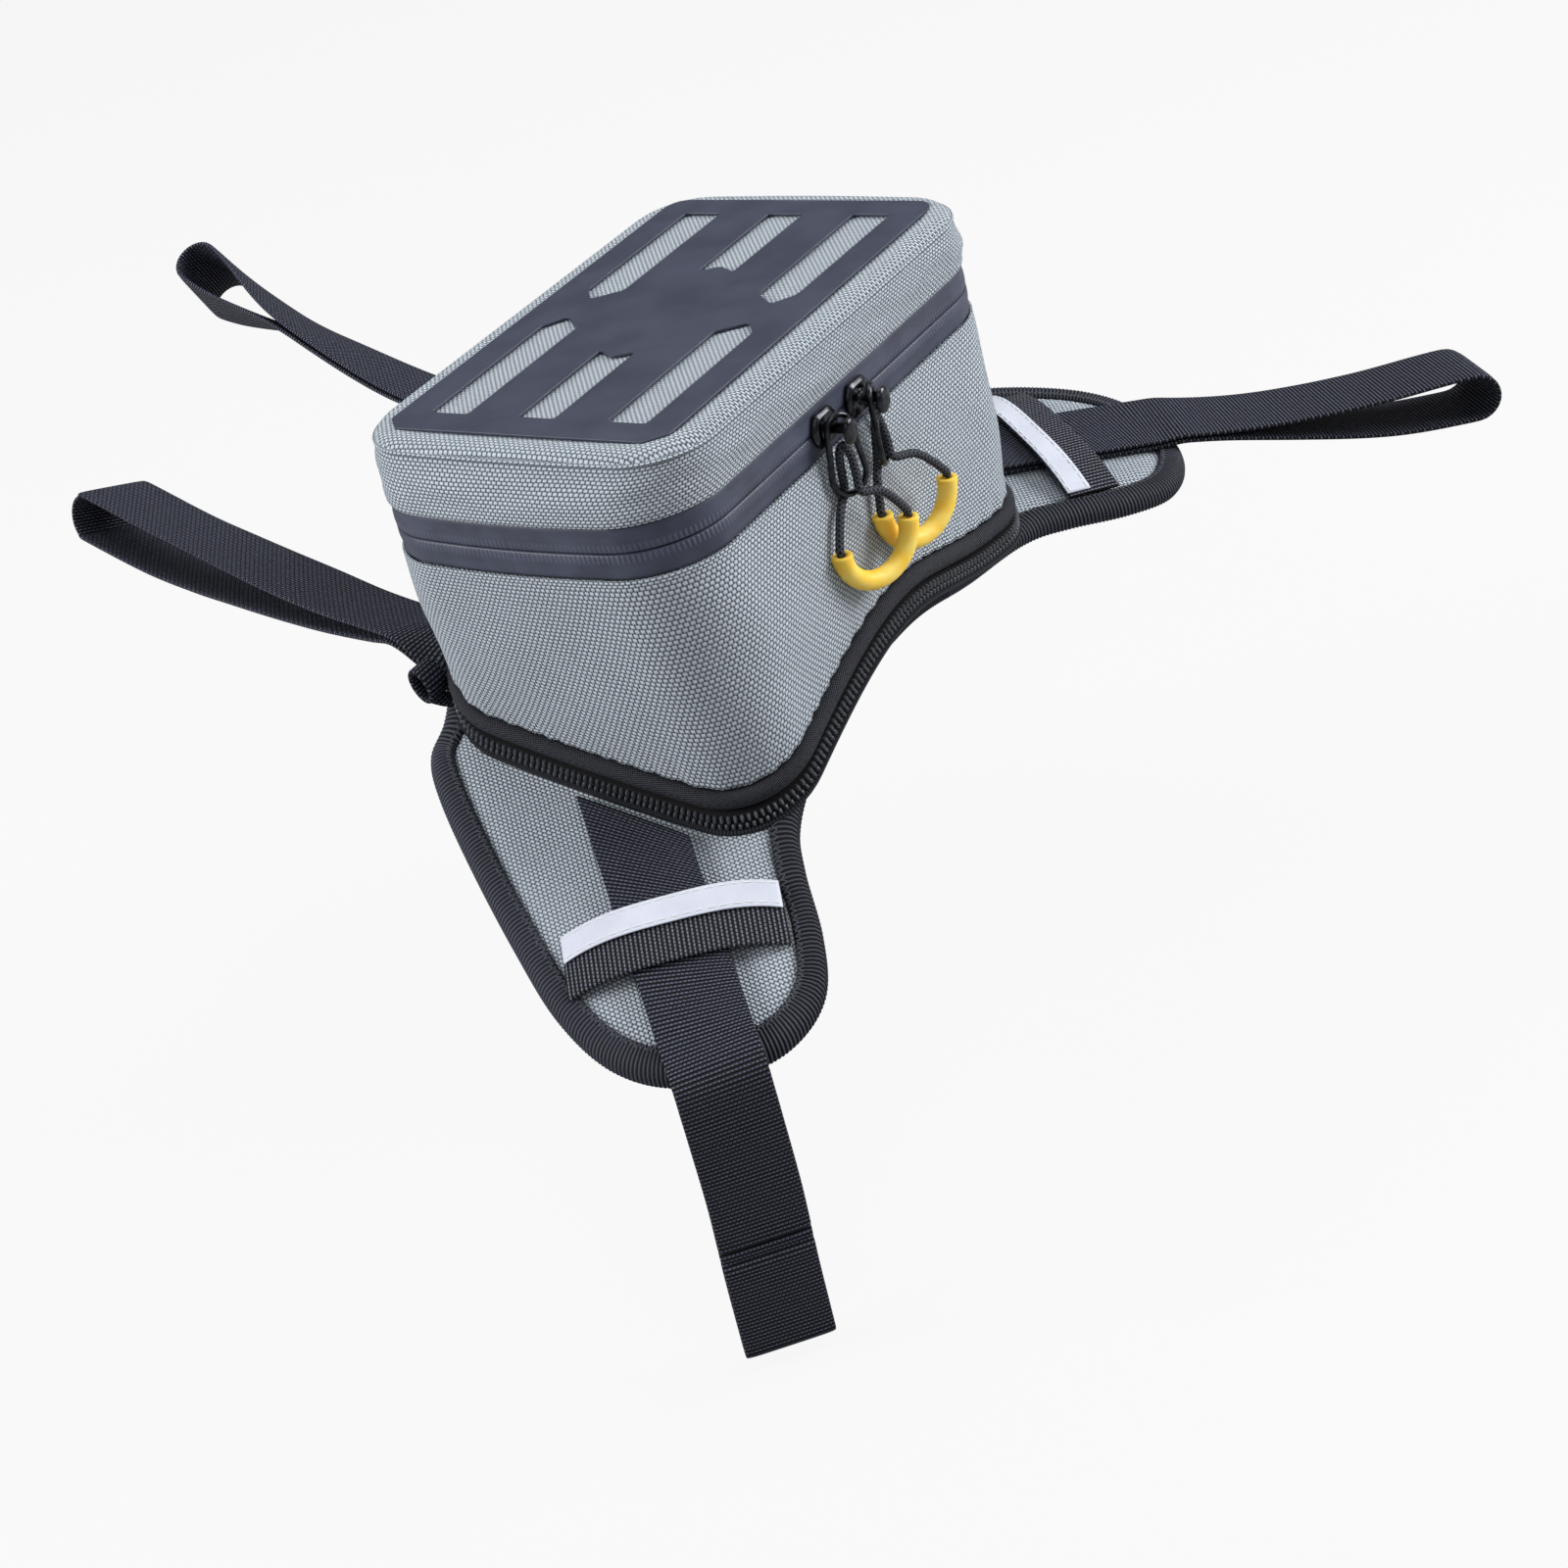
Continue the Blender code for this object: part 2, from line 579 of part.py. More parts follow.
rear_left = [(73, -156.4, -61.8), (75.3, -158.7, -65.2), (76.3, -159.8, -71.5), (76.9, -160.4, -82), (77.3, -161, -106),
             (76.6, -161.8, -132), (76.2, -162.3, -158)]
rear_strap("strap_rear_left", -1, rear_left, 30, 0.5, FOLD_HALF_GAP)
rear_right = [(75, 158, -20), (103, 182, -29), (131, 203, -34), (156, 222, -35)]
rear_strap("strap_rear_right", 1, rear_right, 16, 0.5, STRAP_EYE)
front_left = [(-66.5, -66, 8.0), (-80, -63, 9.8), (-136, -50, 10.6), (-205, -31, 12), (-252, -18, 14)]
doubled_strap("strap_front_left", *free_edges(front_left, (20, 14, -2, -8, -12), 18), 0.45)
front_right = [(-66.5, 48, 16.5), (-82, 51.5, 18.6), (-130, 61, 21.5), (-180, 71, 26), (-240, 85, 41), (-290, 98, 53)]
doubled_strap("strap_front_right", *free_edges(front_right, (-10, -10, -12, -18, -36, -62), 24), 0.5)


def keeper_edges(side, inner, outer):
    """Edge lines of a band across a wing, arched over the strap; inner and outer are distances from its middle."""
    along = np.array(KEEPER_DIRECTION)
    outwards = np.array((along[1], -along[0]))
    reach = np.linspace(-KEEPER_HALF_LENGTH, KEEPER_HALF_LENGTH, 17)
    shoulder = np.clip((27.5 * MM - np.abs(reach)) / (6.0 * MM), 0, 1)
    lift = KEEPER_LIFT * shoulder**2 * (3 - 2 * shoulder)
    lines = []
    for offset in (inner, outer):
        plan = np.array(KEEPER_CENTRE) + outwards * offset + along * reach[:, None]
        plan = plan * (1, -side)
        lines.append(np.column_stack([plan, seat(plan[:, 0], plan[:, 1]) + lift]))
    return lines


for label, side in (("left", -1), ("right", 1)):
    rise = np.array((0, 0, 7.3 * MM))
    edge_a, edge_b = keeper_edges(side, -KEEPER_WIDTH / 2, KEEPER_WIDTH / 2)
    ribbon("keeper_" + label, edge_a + rise, edge_b + rise, KEEPER_THICKNESS, "tape")
    rise = np.array((0, 0, 7.3 * MM + KEEPER_THICKNESS + 2 * GAP))
    edge_a, edge_b = keeper_edges(side, -KEEPER_WIDTH / 2 - 0.3 * MM, REFLECTOR_WIDTH - KEEPER_WIDTH / 2)
    ribbon("reflector_" + label, edge_a + rise, edge_b + rise, REFLECTOR_THICKNESS, "reflective")


def oval(half_width, half_height, steps):
    """Points of an ellipse."""
    return [(half_width * math.cos(t), half_height * math.sin(t))
            for t in np.linspace(0, 2 * math.pi, steps, endpoint=False)]


for label, y in (("left", -84.5 * MM), ("right", 84.5 * MM)):
    rings = [oval(3.6 * MM, 6.2 * MM, 20), oval(2.2 * MM, 4.6 * MM, 20)]
    mesh = curve_mesh("corner_loop_" + label, rings, flat=True, extrude=4.5 * MM)
    loop = add_part("corner_loop_" + label, mesh, "tape")
    x = -62 * MM
    loop.location = (x, y, float(seat(x, y)) + CORNER_LOOP_RISE)
    loop.rotation_euler.x = math.radians(90)


# Main zip sliders and pulls

def joined(name, first, others):
    """Union of meshes that pass into one another."""
    part = add_part(name, first, "metal")
    for index, mesh in enumerate(others):
        tool = bpy.data.objects.new(f"{name}_tool_{index}", mesh)
        cutters.objects.link(tool)
        tool.hide_render = True
        tool.display_type = "WIRE"
        tool.parent = part
        union = part.modifiers.new(f"union_{index}", "BOOLEAN")
        union.operation = "UNION"
        union.object = tool
        union.solver = "EXACT"
    return part


def disc(radius, length, start, steps=16):
    """A round post along +X that starts at a distance from the slider's back."""
    work = bmesh.new()
    turn = Matrix.Translation((start + length / 2, 0, 0)) @ Matrix.Rotation(math.pi / 2, 4, "Y")
    bmesh.ops.create_cone(work, cap_ends=True, segments=steps, radius1=radius, radius2=radius, depth=length, matrix=turn)
    mesh = bpy.data.meshes.new("post")
    work.to_mesh(mesh)
    work.free()
    return mesh


def upright_plate(name, outline, thickness, start):
    """A flat outline in (y, z) with a thickness along +X."""
    mesh = curve_mesh(name, [outline], flat=True, extrude=thickness / 2)
    turn = Matrix(((0, 0, 1, start + thickness / 2), (1, 0, 0, 0), (0, 1, 0, 0), (0, 0, 0, 1)))
    mesh.transform(turn)
    return mesh


def zip_slider(label, travel):
    """Shield-shaped slider body with a post and a tongue-shaped head that the bail hangs on."""
    shield = [(7 * travel, 3.2), (3 * travel, 5.8), (-5 * travel, 5.4), (-7 * travel, 2.6),
              (-7 * travel, -2.6), (-5 * travel, -5.4), (3 * travel, -5.8), (7 * travel, -3.2)]
    shield = [(y * MM, z * MM) for y, z in shield]
    tongue = [(3.0, 3.4), (-3.0, 3.4), (-3.6, -1.0), (-2.2, -4.2), (2.2, -4.2), (3.6, -1.0)]
    tongue = [(y * MM, z * MM) for y, z in tongue]
    post = disc(POST_RADIUS, POST_LENGTH + 1.0 * MM, SLIDER_PLATE - 0.5 * MM)
    head = upright_plate("head", tongue, HEAD_THICKNESS, SLIDER_PLATE + POST_LENGTH)
    body = upright_plate("slider_" + label, shield, SLIDER_PLATE, 0.0)
    slider = joined("slider_" + label, body, [post, head])
    slider.location = (SLIDER_FACE_X, SLIDER_Y[label], SLIDER_Z)
    return slider


def bail_path():
    """Centre line of the wire bail in (y, z): a narrow bend on the post, a wider bend at the foot."""
    top = np.linspace(0, math.pi, 9)
    foot = np.linspace(math.pi, 2 * math.pi, 11)
    upper = np.column_stack([np.cos(top), np.sin(top)]) * BAIL_TOP_RADIUS
    lower = np.column_stack([np.cos(foot), np.sin(foot)]) * BAIL_FOOT_RADIUS - (0, BAIL_LENGTH)
    return np.vstack([upper, lower])


def pull_cord_route(side):
    """Cord from one grip end, behind and through the bail, out in front to the other grip end."""
    lean = np.array((math.sin(GRIP_YAW), math.cos(GRIP_YAW)))
    centre = np.array((GRIP_X - BAIL_X, GRIP_SHIFT[side]))
    first = centre - lean * GRIP_BEND
    second = centre + lean * GRIP_BEND
    behind = -(BAIL_WIRE + CORD_RADIUS + 2 * GAP)
    foot = -BAIL_LENGTH
    under = foot - BAIL_FOOT_RADIUS
    top = -GRIP_DROP + GAP
    return [
        (first[0], first[1], top), (first[0], first[1] * 0.99, top + 2.5 * MM),
        (behind, first[1] * 0.55, under - 3 * MM), (behind, -1.0 * MM, under + 1.5 * MM),
        (behind * 0.8, -0.6 * MM, foot - 2.2 * MM), (0.0, 0.0, foot - 0.6 * MM),
        (-behind * 0.8, 0.6 * MM, foot - 2.2 * MM), (-behind, 1.0 * MM, under + 1.5 * MM),
        (-behind + 1.0 * MM, second[1] * 0.6, under - 2 * MM),
        (second[0], second[1] * 0.99, top + 2.5 * MM), (second[0], second[1], top),
    ]


def grip_route(side):
    """Half circle of the bent tube, hanging open end up."""
    swing = np.linspace(math.pi, 2 * math.pi, 15)
    lean = (math.sin(GRIP_YAW), math.cos(GRIP_YAW))
    return [(GRIP_X - BAIL_X + lean[0] * GRIP_BEND * math.cos(t),
             GRIP_SHIFT[side] + lean[1] * GRIP_BEND * math.cos(t),
             -GRIP_DROP + GRIP_BEND * math.sin(t)) for t in swing]


for label, travel in (("left", -1), ("right", 1)):
    zip_slider(label, travel)
    hook = bpy.data.objects.new("hook_axis_" + label, None)
    bag_parts.objects.link(hook)
    hook.location = (BAIL_X, SLIDER_Y[label], SLIDER_Z)
    wire = [(0.0, y, z) for y, z in bail_path()]
    bail = add_part("bail_" + label, curve_mesh("bail_" + label, [wire], bevel=BAIL_WIRE), "metal")
    route = smooth_open(pull_cord_route(label), 30)
    mesh = curve_mesh("pull_cord_" + label, [route], cyclic=False, bevel=CORD_RADIUS)
    cord = add_part("pull_cord_" + label, mesh, "tape")
    mesh = curve_mesh("pull_grip_" + label, [grip_route(label)], cyclic=False, bevel=GRIP_RADIUS, resolution=3)
    grip = add_part("pull_grip_" + label, mesh, "amber")
    for piece in (bail, cord, grip):
        piece.parent = hook


# Base zip slider on the front side

def base_slider():
    """Small slider and tab on the base zip, standing on the middle of the front side."""
    x = -(BASE[0] + COIL_OUT + 0.5 * MM)
    z = float(seat(x, 0.0)) + (LOWER_COIL[1] + UPPER_COIL[0]) / 2
    plate = [(5, 2.2), (-5, 2.2), (-5, -1.5), (5, -1.5)]
    body = upright_plate("base_zip_slider", [(y * MM, z_ * MM) for y, z_ in plate], 2.0 * MM, -2.0 * MM)
    slider = joined("base_zip_slider", body, [disc(1.2 * MM, 2.4 * MM, -4.0 * MM, 12)])
    slider.location = (x, 0, z)
    tab = [(1.4, 2.0), (-13, 2.0), (-15, 0.0), (-13, -2.0), (1.4, -2.0), (2.4, 0.0)]
    eye = [(1.5 * MM * math.cos(t), 1.5 * MM * math.sin(t)) for t in np.linspace(0, 2 * math.pi, 12, endpoint=False)]
    mesh = curve_mesh("base_zip_pull", [[(a * MM, b * MM) for a, b in tab], eye], flat=True, extrude=0.6 * MM)
    mesh.transform(Matrix(((0, 0, 1, -3.0 * MM), (1, 0, 0, 0), (0, 1, 0, 0), (0, 0, 0, 1))))
    pull = add_part("base_zip_pull", mesh, "metal")
    pull.location = slider.location


base_slider()
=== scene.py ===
"""Looks of a small box-shaped motorcycle tank bag on a padded harness with four webbing straps.

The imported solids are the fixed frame, in metres, with +X to the rider and +Z up along the lid's normal.
"""
import math

import bmesh
import bpy
import numpy as np
from mathutils import Matrix, Quaternion, Vector


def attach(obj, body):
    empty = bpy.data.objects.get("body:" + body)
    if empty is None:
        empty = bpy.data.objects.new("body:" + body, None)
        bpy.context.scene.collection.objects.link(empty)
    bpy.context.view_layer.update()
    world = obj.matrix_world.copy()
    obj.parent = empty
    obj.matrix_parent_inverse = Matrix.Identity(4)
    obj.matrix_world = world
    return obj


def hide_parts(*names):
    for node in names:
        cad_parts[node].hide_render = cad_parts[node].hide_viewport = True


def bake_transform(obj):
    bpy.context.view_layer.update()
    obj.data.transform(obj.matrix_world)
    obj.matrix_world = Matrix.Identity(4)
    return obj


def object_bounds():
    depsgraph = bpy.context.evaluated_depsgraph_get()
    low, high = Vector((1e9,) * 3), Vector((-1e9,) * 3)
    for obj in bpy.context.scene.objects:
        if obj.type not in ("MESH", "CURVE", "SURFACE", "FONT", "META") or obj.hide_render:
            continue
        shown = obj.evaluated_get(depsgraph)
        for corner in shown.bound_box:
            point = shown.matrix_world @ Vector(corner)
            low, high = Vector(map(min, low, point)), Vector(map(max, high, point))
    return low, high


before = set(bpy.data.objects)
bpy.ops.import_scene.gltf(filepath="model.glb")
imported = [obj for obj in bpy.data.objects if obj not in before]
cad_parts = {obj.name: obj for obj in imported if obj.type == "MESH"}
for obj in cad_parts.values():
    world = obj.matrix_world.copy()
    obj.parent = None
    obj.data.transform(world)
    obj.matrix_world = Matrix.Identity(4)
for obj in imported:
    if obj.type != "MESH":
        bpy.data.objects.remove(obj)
cad_low, cad_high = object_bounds()

# Stage
# A white sweep under soft boxes. The camera stands at the rider's left, a little above the lid, and leans
# over to its left side as the photograph does.
MM = 0.001
CAMERA_PLACE = Vector((528.7, -666.2, 422.9)) * MM
CAMERA_AZIMUTH = math.radians(38.57)
CAMERA_ELEVATION = math.radians(30.46)
CAMERA_ROLL = math.radians(-14.58)
CAMERA_LENS = 68.06
FLOOR_CLEARANCE = 4 * MM
FLOOR_HALF = 4.0
AMBIENT = 0.18
MIRRORED = 0.22
FLOOR_WHITE = 0.90
FLOOR_GREY = 0.40
SOFT_BOXES = {
    "overhead": ((-0.1, 0.25, 1.30), 1.2, 9.0),
    "front_left": ((-1.05, -1.15, 0.75), 0.9, 25.0),
    "rider_right": ((1.20, 0.95, 0.70), 0.9, 27.0),
    "rider_left": ((1.10, -0.75, 1.00), 0.6, 3.0),
}


class Shade:
    """A socket in a node tree; arithmetic on it adds Math nodes to the same tree."""

    def __init__(self, tree, socket=None):
        self.tree = tree
        self.socket = socket

    def node(self, kind, settings=None, inputs=None, output=0):
        """Adds any node: its settings first, then the values or links of its sockets."""
        made = self.tree.nodes.new("ShaderNode" + kind)
        for name, value in (settings or {}).items():
            setattr(made, name, value)
        for name, value in (inputs or {}).items():
            if isinstance(value, Shade):
                self.tree.links.new(value.socket, made.inputs[name])
            else:
                made.inputs[name].default_value = value
        return Shade(self.tree, made.outputs[output])

    def math(self, operation, *values):
        """Math node on this value and the others in turn."""
        return self.node("Math", {"operation": operation}, dict(enumerate((self, *values))))

    def reflected(self, operation, first):
        """Math node whose first value is a plain number."""
        return self.node("Math", {"operation": operation}, {0: first, 1: self})

    def __add__(self, other):
        return self.math("ADD", other)

    def __sub__(self, other):
        return self.math("SUBTRACT", other)

    def __mul__(self, other):
        return self.math("MULTIPLY", other)

    def __pow__(self, other):
        return self.math("POWER", other)

    def __radd__(self, other):
        return self.reflected("ADD", other)

    def __rsub__(self, other):
        return self.reflected("SUBTRACT", other)

    def __rmul__(self, other):
        return self.reflected("MULTIPLY", other)

    def step(self, low, high):
        """Smooth step from 0 at low to 1 at high."""
        settings = {"interpolation_type": "SMOOTHSTEP"}
        return self.node("MapRange", settings, {"Value": self, "From Min": low, "From Max": high})

    def mix(self, first, second):
        """Colour that goes from the first to the second as this value goes from 0 to 1."""
        return self.node("Mix", {"data_type": "RGBA"}, {0: self, 6: first, 7: second}, output=2)

    def uv(self, scale_u=1.0, scale_v=1.0):
        """The piece's own UV map, scaled, as a vector and as its two parts."""
        place = self.node("UVMap", {"uv_map": "UVMap"})
        place = self.node("VectorMath", {"operation": "MULTIPLY"}, {0: place, 1: (scale_u, scale_v, 1.0)})
        parts = [self.node("SeparateXYZ", None, {"Vector": place}, output=k) for k in (0, 1)]
        return place, *parts

    def noise(self, place, scale, detail=2.0):
        """Cloudy value round 0.5; place is a vector and scale is in waves to its unit."""
        inputs = {"Vector": place, "Scale": scale, "Detail": detail}
        return self.node("TexNoise", None, inputs, output="Fac")

    def cloud(self, scale, detail):
        """Noise on the piece's Object coordinates; scale is in waves to the metre."""
        return self.noise(self.node("TexCoord", output="Object"), scale, detail)

    def wave(self):
        """Cosine wave from 0 to 1, one to each unit of this value."""
        return (self * 2 * math.pi).math("COSINE") * 0.5 + 0.5


def paint(red, green, blue):
    """Linear colour of a display colour given out of 255."""
    display = np.array((red, green, blue)) / 255
    linear = np.where(display <= 0.04045, display / 12.92, ((display + 0.055) / 1.055) ** 2.4)
    return (*linear.tolist(), 1.0)


scene = bpy.context.scene
scene.view_settings.view_transform = "Standard"
backwards = Vector((math.sin(CAMERA_AZIMUTH) * math.cos(CAMERA_ELEVATION),
                    -math.cos(CAMERA_AZIMUTH) * math.cos(CAMERA_ELEVATION), math.sin(CAMERA_ELEVATION)))
camera = bpy.data.objects.new("camera", bpy.data.cameras.new("camera"))
camera.data.lens = CAMERA_LENS
camera.data.sensor_width = 36
camera.data.clip_start = 0.01
camera.location = CAMERA_PLACE
camera.rotation_mode = "QUATERNION"
camera.rotation_quaternion = (-backwards).to_track_quat("-Z", "Y") @ Quaternion((0, 0, 1), CAMERA_ROLL)
scene.collection.objects.link(camera)
scene.camera = camera

for name, (place, width, power) in SOFT_BOXES.items():
    lamp = bpy.data.lights.new(name, "AREA")
    lamp.shape = "SQUARE"
    lamp.size = width
    lamp.energy = power
    soft_box = bpy.data.objects.new(name, lamp)
    soft_box.location = place
    soft_box.rotation_mode = "QUATERNION"
    soft_box.rotation_quaternion = (-Vector(place)).to_track_quat("-Z", "Y")
    scene.collection.objects.link(soft_box)

studio = bpy.data.worlds.new("studio")
studio.use_nodes = True
scene.world = studio
sky = Shade(studio.node_tree)
seen = sky.node("LightPath", output="Is Camera Ray")
mirrored = sky.node("LightPath", output="Is Glossy Ray")
sky_strength = AMBIENT + (1 - AMBIENT) * seen + (MIRRORED - AMBIENT) * mirrored
background = studio.node_tree.nodes["Background"]
background.inputs["Color"].default_value = (1, 1, 1, 1)
studio.node_tree.links.new(sky_strength.socket, background.inputs["Strength"])

floor_z = cad_low.z - FLOOR_CLEARANCE
floor_mesh = bpy.data.meshes.new("floor")
floor_corners = ((-1, -1), (1, -1), (1, 1), (-1, 1))
floor_points = [(x * FLOOR_HALF, y * FLOOR_HALF, floor_z) for x, y in floor_corners]
floor_mesh.from_pydata(floor_points, [], [(0, 1, 2, 3)])
floor = bpy.data.objects.new("floor", floor_mesh)
scene.collection.objects.link(floor)
paper = bpy.data.materials.new("floor_paper")
paper.use_nodes = True
paper_shade = Shade(paper.node_tree)
paper_matte = paper.node_tree.nodes["Principled BSDF"]
paper_matte.inputs["Base Color"].default_value = (FLOOR_GREY, FLOOR_GREY, FLOOR_GREY, 1)
paper_matte.inputs["Roughness"].default_value = 1.0
paper_matte.inputs["Specular IOR Level"].default_value = 0.0
paper_white = paper_shade.node("Emission", None, {"Color": (1, 1, 1, 1), "Strength": 1.0})
paper_seen = paper_shade.node("LightPath", output="Is Camera Ray") * FLOOR_WHITE
paper_mixed = paper_shade.node("MixShader", None, {0: paper_seen, 2: paper_white})
paper.node_tree.links.new(paper_matte.outputs[0], paper_mixed.socket.node.inputs[1])
paper.node_tree.links.new(paper_mixed.socket, paper.node_tree.nodes["Material Output"].inputs["Surface"])
floor_mesh.materials.append(paper)


# Harness pad
# A sandwich of woven cover, closed-cell foam and a dotted grip sheet, cut to one outline with a wing at each
# rear corner and bound all round. It is draped over the tank, whose crown falls away to both sides.
SEAT_FALL = 0.23
LEFT_SLOPE = 0.33
LEFT_CROWN = 40 * MM
LEFT_DROP = 14.5 * MM
LEFT_SPREAD = 95 * MM
RIGHT_DROP = 12 * MM
RIGHT_SPREAD = 40 * MM
RIGHT_STRETCH = 1.03
PAD_INSET = 8.3 * MM
GRIP_LAYER = (0.0, 1.0 * MM)
FOAM_LAYER = (1.3 * MM, 4.7 * MM)
COVER_RISE = 6.2 * MM
COVER_TUCK = 5.3 * MM
COVER_TUCK_REACH = 3.0 * MM
COVER_SHEET = 1.0 * MM
PAD_ROWS, PAD_COLUMNS = 190, 64
FLOAT_PITCH = 1.8 * MM
FLOAT_ROW = 1.05 * MM
# Painted light on the cloth: a painted highlight for the floats' crests, a painted shade for their sides and
# a near-black painted shade for the gaps between floats.
FLOAT_CREST_HIGHLIGHT = paint(200, 211, 222)
FLOAT_SIDE_SHADE = paint(92, 101, 116)
WEAVE_GAP_SHADE = paint(3, 4, 8)


def seat(x, y):
    """Height of the tank under the harness: a slope to the rider, less a rounded roof on the left side and a
    bell-shaped fall on the right one."""
    left = LEFT_SLOPE * (np.sqrt(y * y + LEFT_CROWN**2) - LEFT_CROWN)
    left = left + LEFT_DROP * (1 - np.exp(-((y / LEFT_SPREAD) ** 2)))
    right = RIGHT_DROP * (1 - np.exp(-((y / RIGHT_SPREAD) ** 2)))
    return -SEAT_FALL * x - np.where(y < 0, left, right)


def unit(vectors):
    """Vectors scaled to length one."""
    return vectors / np.linalg.norm(vectors, axis=-1, keepdims=True)


def catmull(before, start, end, after, t):
    """Catmull-Rom curve between start and end."""
    return 0.5 * (2 * start + (end - before) * t + (2 * before - 5 * start + 4 * end - after) * t**2
                  + (3 * start - before - 3 * end + after) * t**3)


def run_along(points):
    """Distance along a line, from its start to each of its points."""
    return np.concatenate([[0], np.cumsum(np.linalg.norm(np.diff(points, axis=0), axis=1))])


def evenly(points, count, closed=False):
    """Points spaced evenly along a dense line."""
    run = run_along(points)
    places = np.linspace(0, run[-1], count, endpoint=not closed)
    return np.stack([np.interp(places, run, column) for column in points.T], axis=1)


def closed_curve(points, count):
    """Closed smooth curve through the points, evenly sampled along its length."""
    points = np.asarray(points, dtype=float)
    t = np.linspace(0, 1, 24, endpoint=False)[None, :, None]
    around = [np.roll(points, shift, axis=0)[:, None] for shift in (1, 0, -1, -2)]
    dense = catmull(*around, t).reshape(-1, points.shape[1])
    return evenly(np.vstack([dense, dense[:1]]), count, closed=True)


def open_curve(points, count):
    """Smooth curve through the points, evenly sampled along its length."""
    points = np.asarray(points, dtype=float)
    padded = np.vstack([2 * points[0] - points[1], points, 2 * points[-1] - points[-2]])[:, None]
    t = np.linspace(0, 1, 24, endpoint=False)[None, :, None]
    dense = catmull(padded[:-3], padded[1:-2], padded[2:-1], padded[3:], t).reshape(-1, points.shape[1])
    return evenly(np.vstack([dense, points[-1:]]), count)


def plan_normals(outline):
    """Outward directions of a counter-clockwise outline in plan."""
    along = np.roll(outline, -1, axis=0) - np.roll(outline, 1, axis=0)
    return unit(np.stack([along[:, 1], -along[:, 0]], axis=1))


def harness_edge(count):
    """Outer edge of the harness in plan: a waist on the rider's side and a wing at each rear corner."""
    half = np.array([
        (59.5, 0), (58.4, -30), (58.3, -60), (61.5, -78), (69, -90.4), (82, -106.3), (90, -121.5),
        (88.5, -136.5), (79.5, -149.5), (61, -162), (41, -164.5), (19, -157), (-5, -141.5),
        (-31, -122.5), (-50, -107), (-58.5, -97),
        (-60, -86), (-64, -74), (-68, -60), (-69, -30), (-69, 0),
    ]) * MM
    mirrored = half[-2:0:-1] * (1, -RIGHT_STRETCH)
    return closed_curve(np.vstack([half, mirrored])[::-1], count)


def grid_uv(u, v):
    """Every pair of two runs, as a grid."""
    return np.stack(np.meshgrid(u, v, indexing="ij"), axis=-1)


def patch(points, uv, wrap_u=False, wrap_v=False):
    """Quads over a grid of points, joined round where it wraps; uv then has one row or column more."""
    rows, columns = points.shape[:2]
    i, j = np.meshgrid(np.arange(rows - 1 + wrap_u), np.arange(columns - 1 + wrap_v), indexing="ij")
    corners = ((i, j), (i + 1, j), (i + 1, j + 1), (i, j + 1))
    faces = np.stack([a % rows * columns + b % columns for a, b in corners], axis=-1).reshape(-1, 4)
    return points.reshape(-1, 3), faces, np.stack([uv[corner] for corner in corners], axis=-2).reshape(-1, 2)


def build(name, patches, materials, closed=True, sharp=None):
    """One object from patches; patch k wears the k-th material, or the last. Seams and poles are merged."""
    starts = np.cumsum([0] + [len(part[0]) for part in patches[:-1]])
    mesh = bpy.data.meshes.new(name)
    faces = np.vstack([part[1] + start for part, start in zip(patches, starts)])
    mesh.from_pydata(np.vstack([part[0] for part in patches]).tolist(), [], faces.tolist())
    mesh.uv_layers.new(name="UVMap").data.foreach_set("uv", np.vstack([part[2] for part in patches]).ravel())
    wears = [np.full(len(part[1]), min(k, len(materials) - 1)) for k, part in enumerate(patches)]
    mesh.polygons.foreach_set("material_index", np.concatenate(wears).astype(np.int32))
    work = bmesh.new()
    work.from_mesh(mesh)
    bmesh.ops.remove_doubles(work, verts=work.verts, dist=0.002 * MM)
    if closed:
        bmesh.ops.recalc_face_normals(work, faces=work.faces)
    work.to_mesh(mesh)
    work.free()
    for material in materials:
        mesh.materials.append(material)
    mesh.shade_smooth()
    if sharp:
        mesh.set_sharp_from_angle(angle=math.radians(sharp))
    made = bpy.data.objects.new(name, mesh)
    scene.collection.objects.link(made)
    return made


def thicken(made, thickness):
    """Gives an open skin its thickness, inwards."""
    wall = made.modifiers.new("wall", "SOLIDIFY")
    wall.thickness = thickness
    wall.offset = -1.0
    wall.use_even_offset = True


def finish(name, **fixed):
    """New material; the fixed values go on the shader's own sockets. Returns it and its node maker."""
    material = bpy.data.materials.new(name)
    material.use_nodes = True
    shader = material.node_tree.nodes["Principled BSDF"]
    for socket, value in fixed.items():
        shader.inputs[socket.replace("_", " ")].default_value = value
    return material, Shade(material.node_tree)


def dress(shade, colour=None, roughness=None, height=None, depth=0.1 * MM):
    """Links a colour, a roughness and a bump of the given depth to a material's shader."""
    shader = shade.tree.nodes["Principled BSDF"]
    normal = None
    if height is not None:
        normal = shade.node("Bump", None, {"Strength": 1.0, "Distance": depth, "Height": height})
    for socket, value in (("Base Color", colour), ("Roughness", roughness), ("Normal", normal)):
        if value is not None:
            shade.tree.links.new(value.socket, shader.inputs[socket])


def settle(piece, body, node):
    """Sets a piece on its body in the place of a solid, whose part it hides."""
    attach(piece, body)
    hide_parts(node)


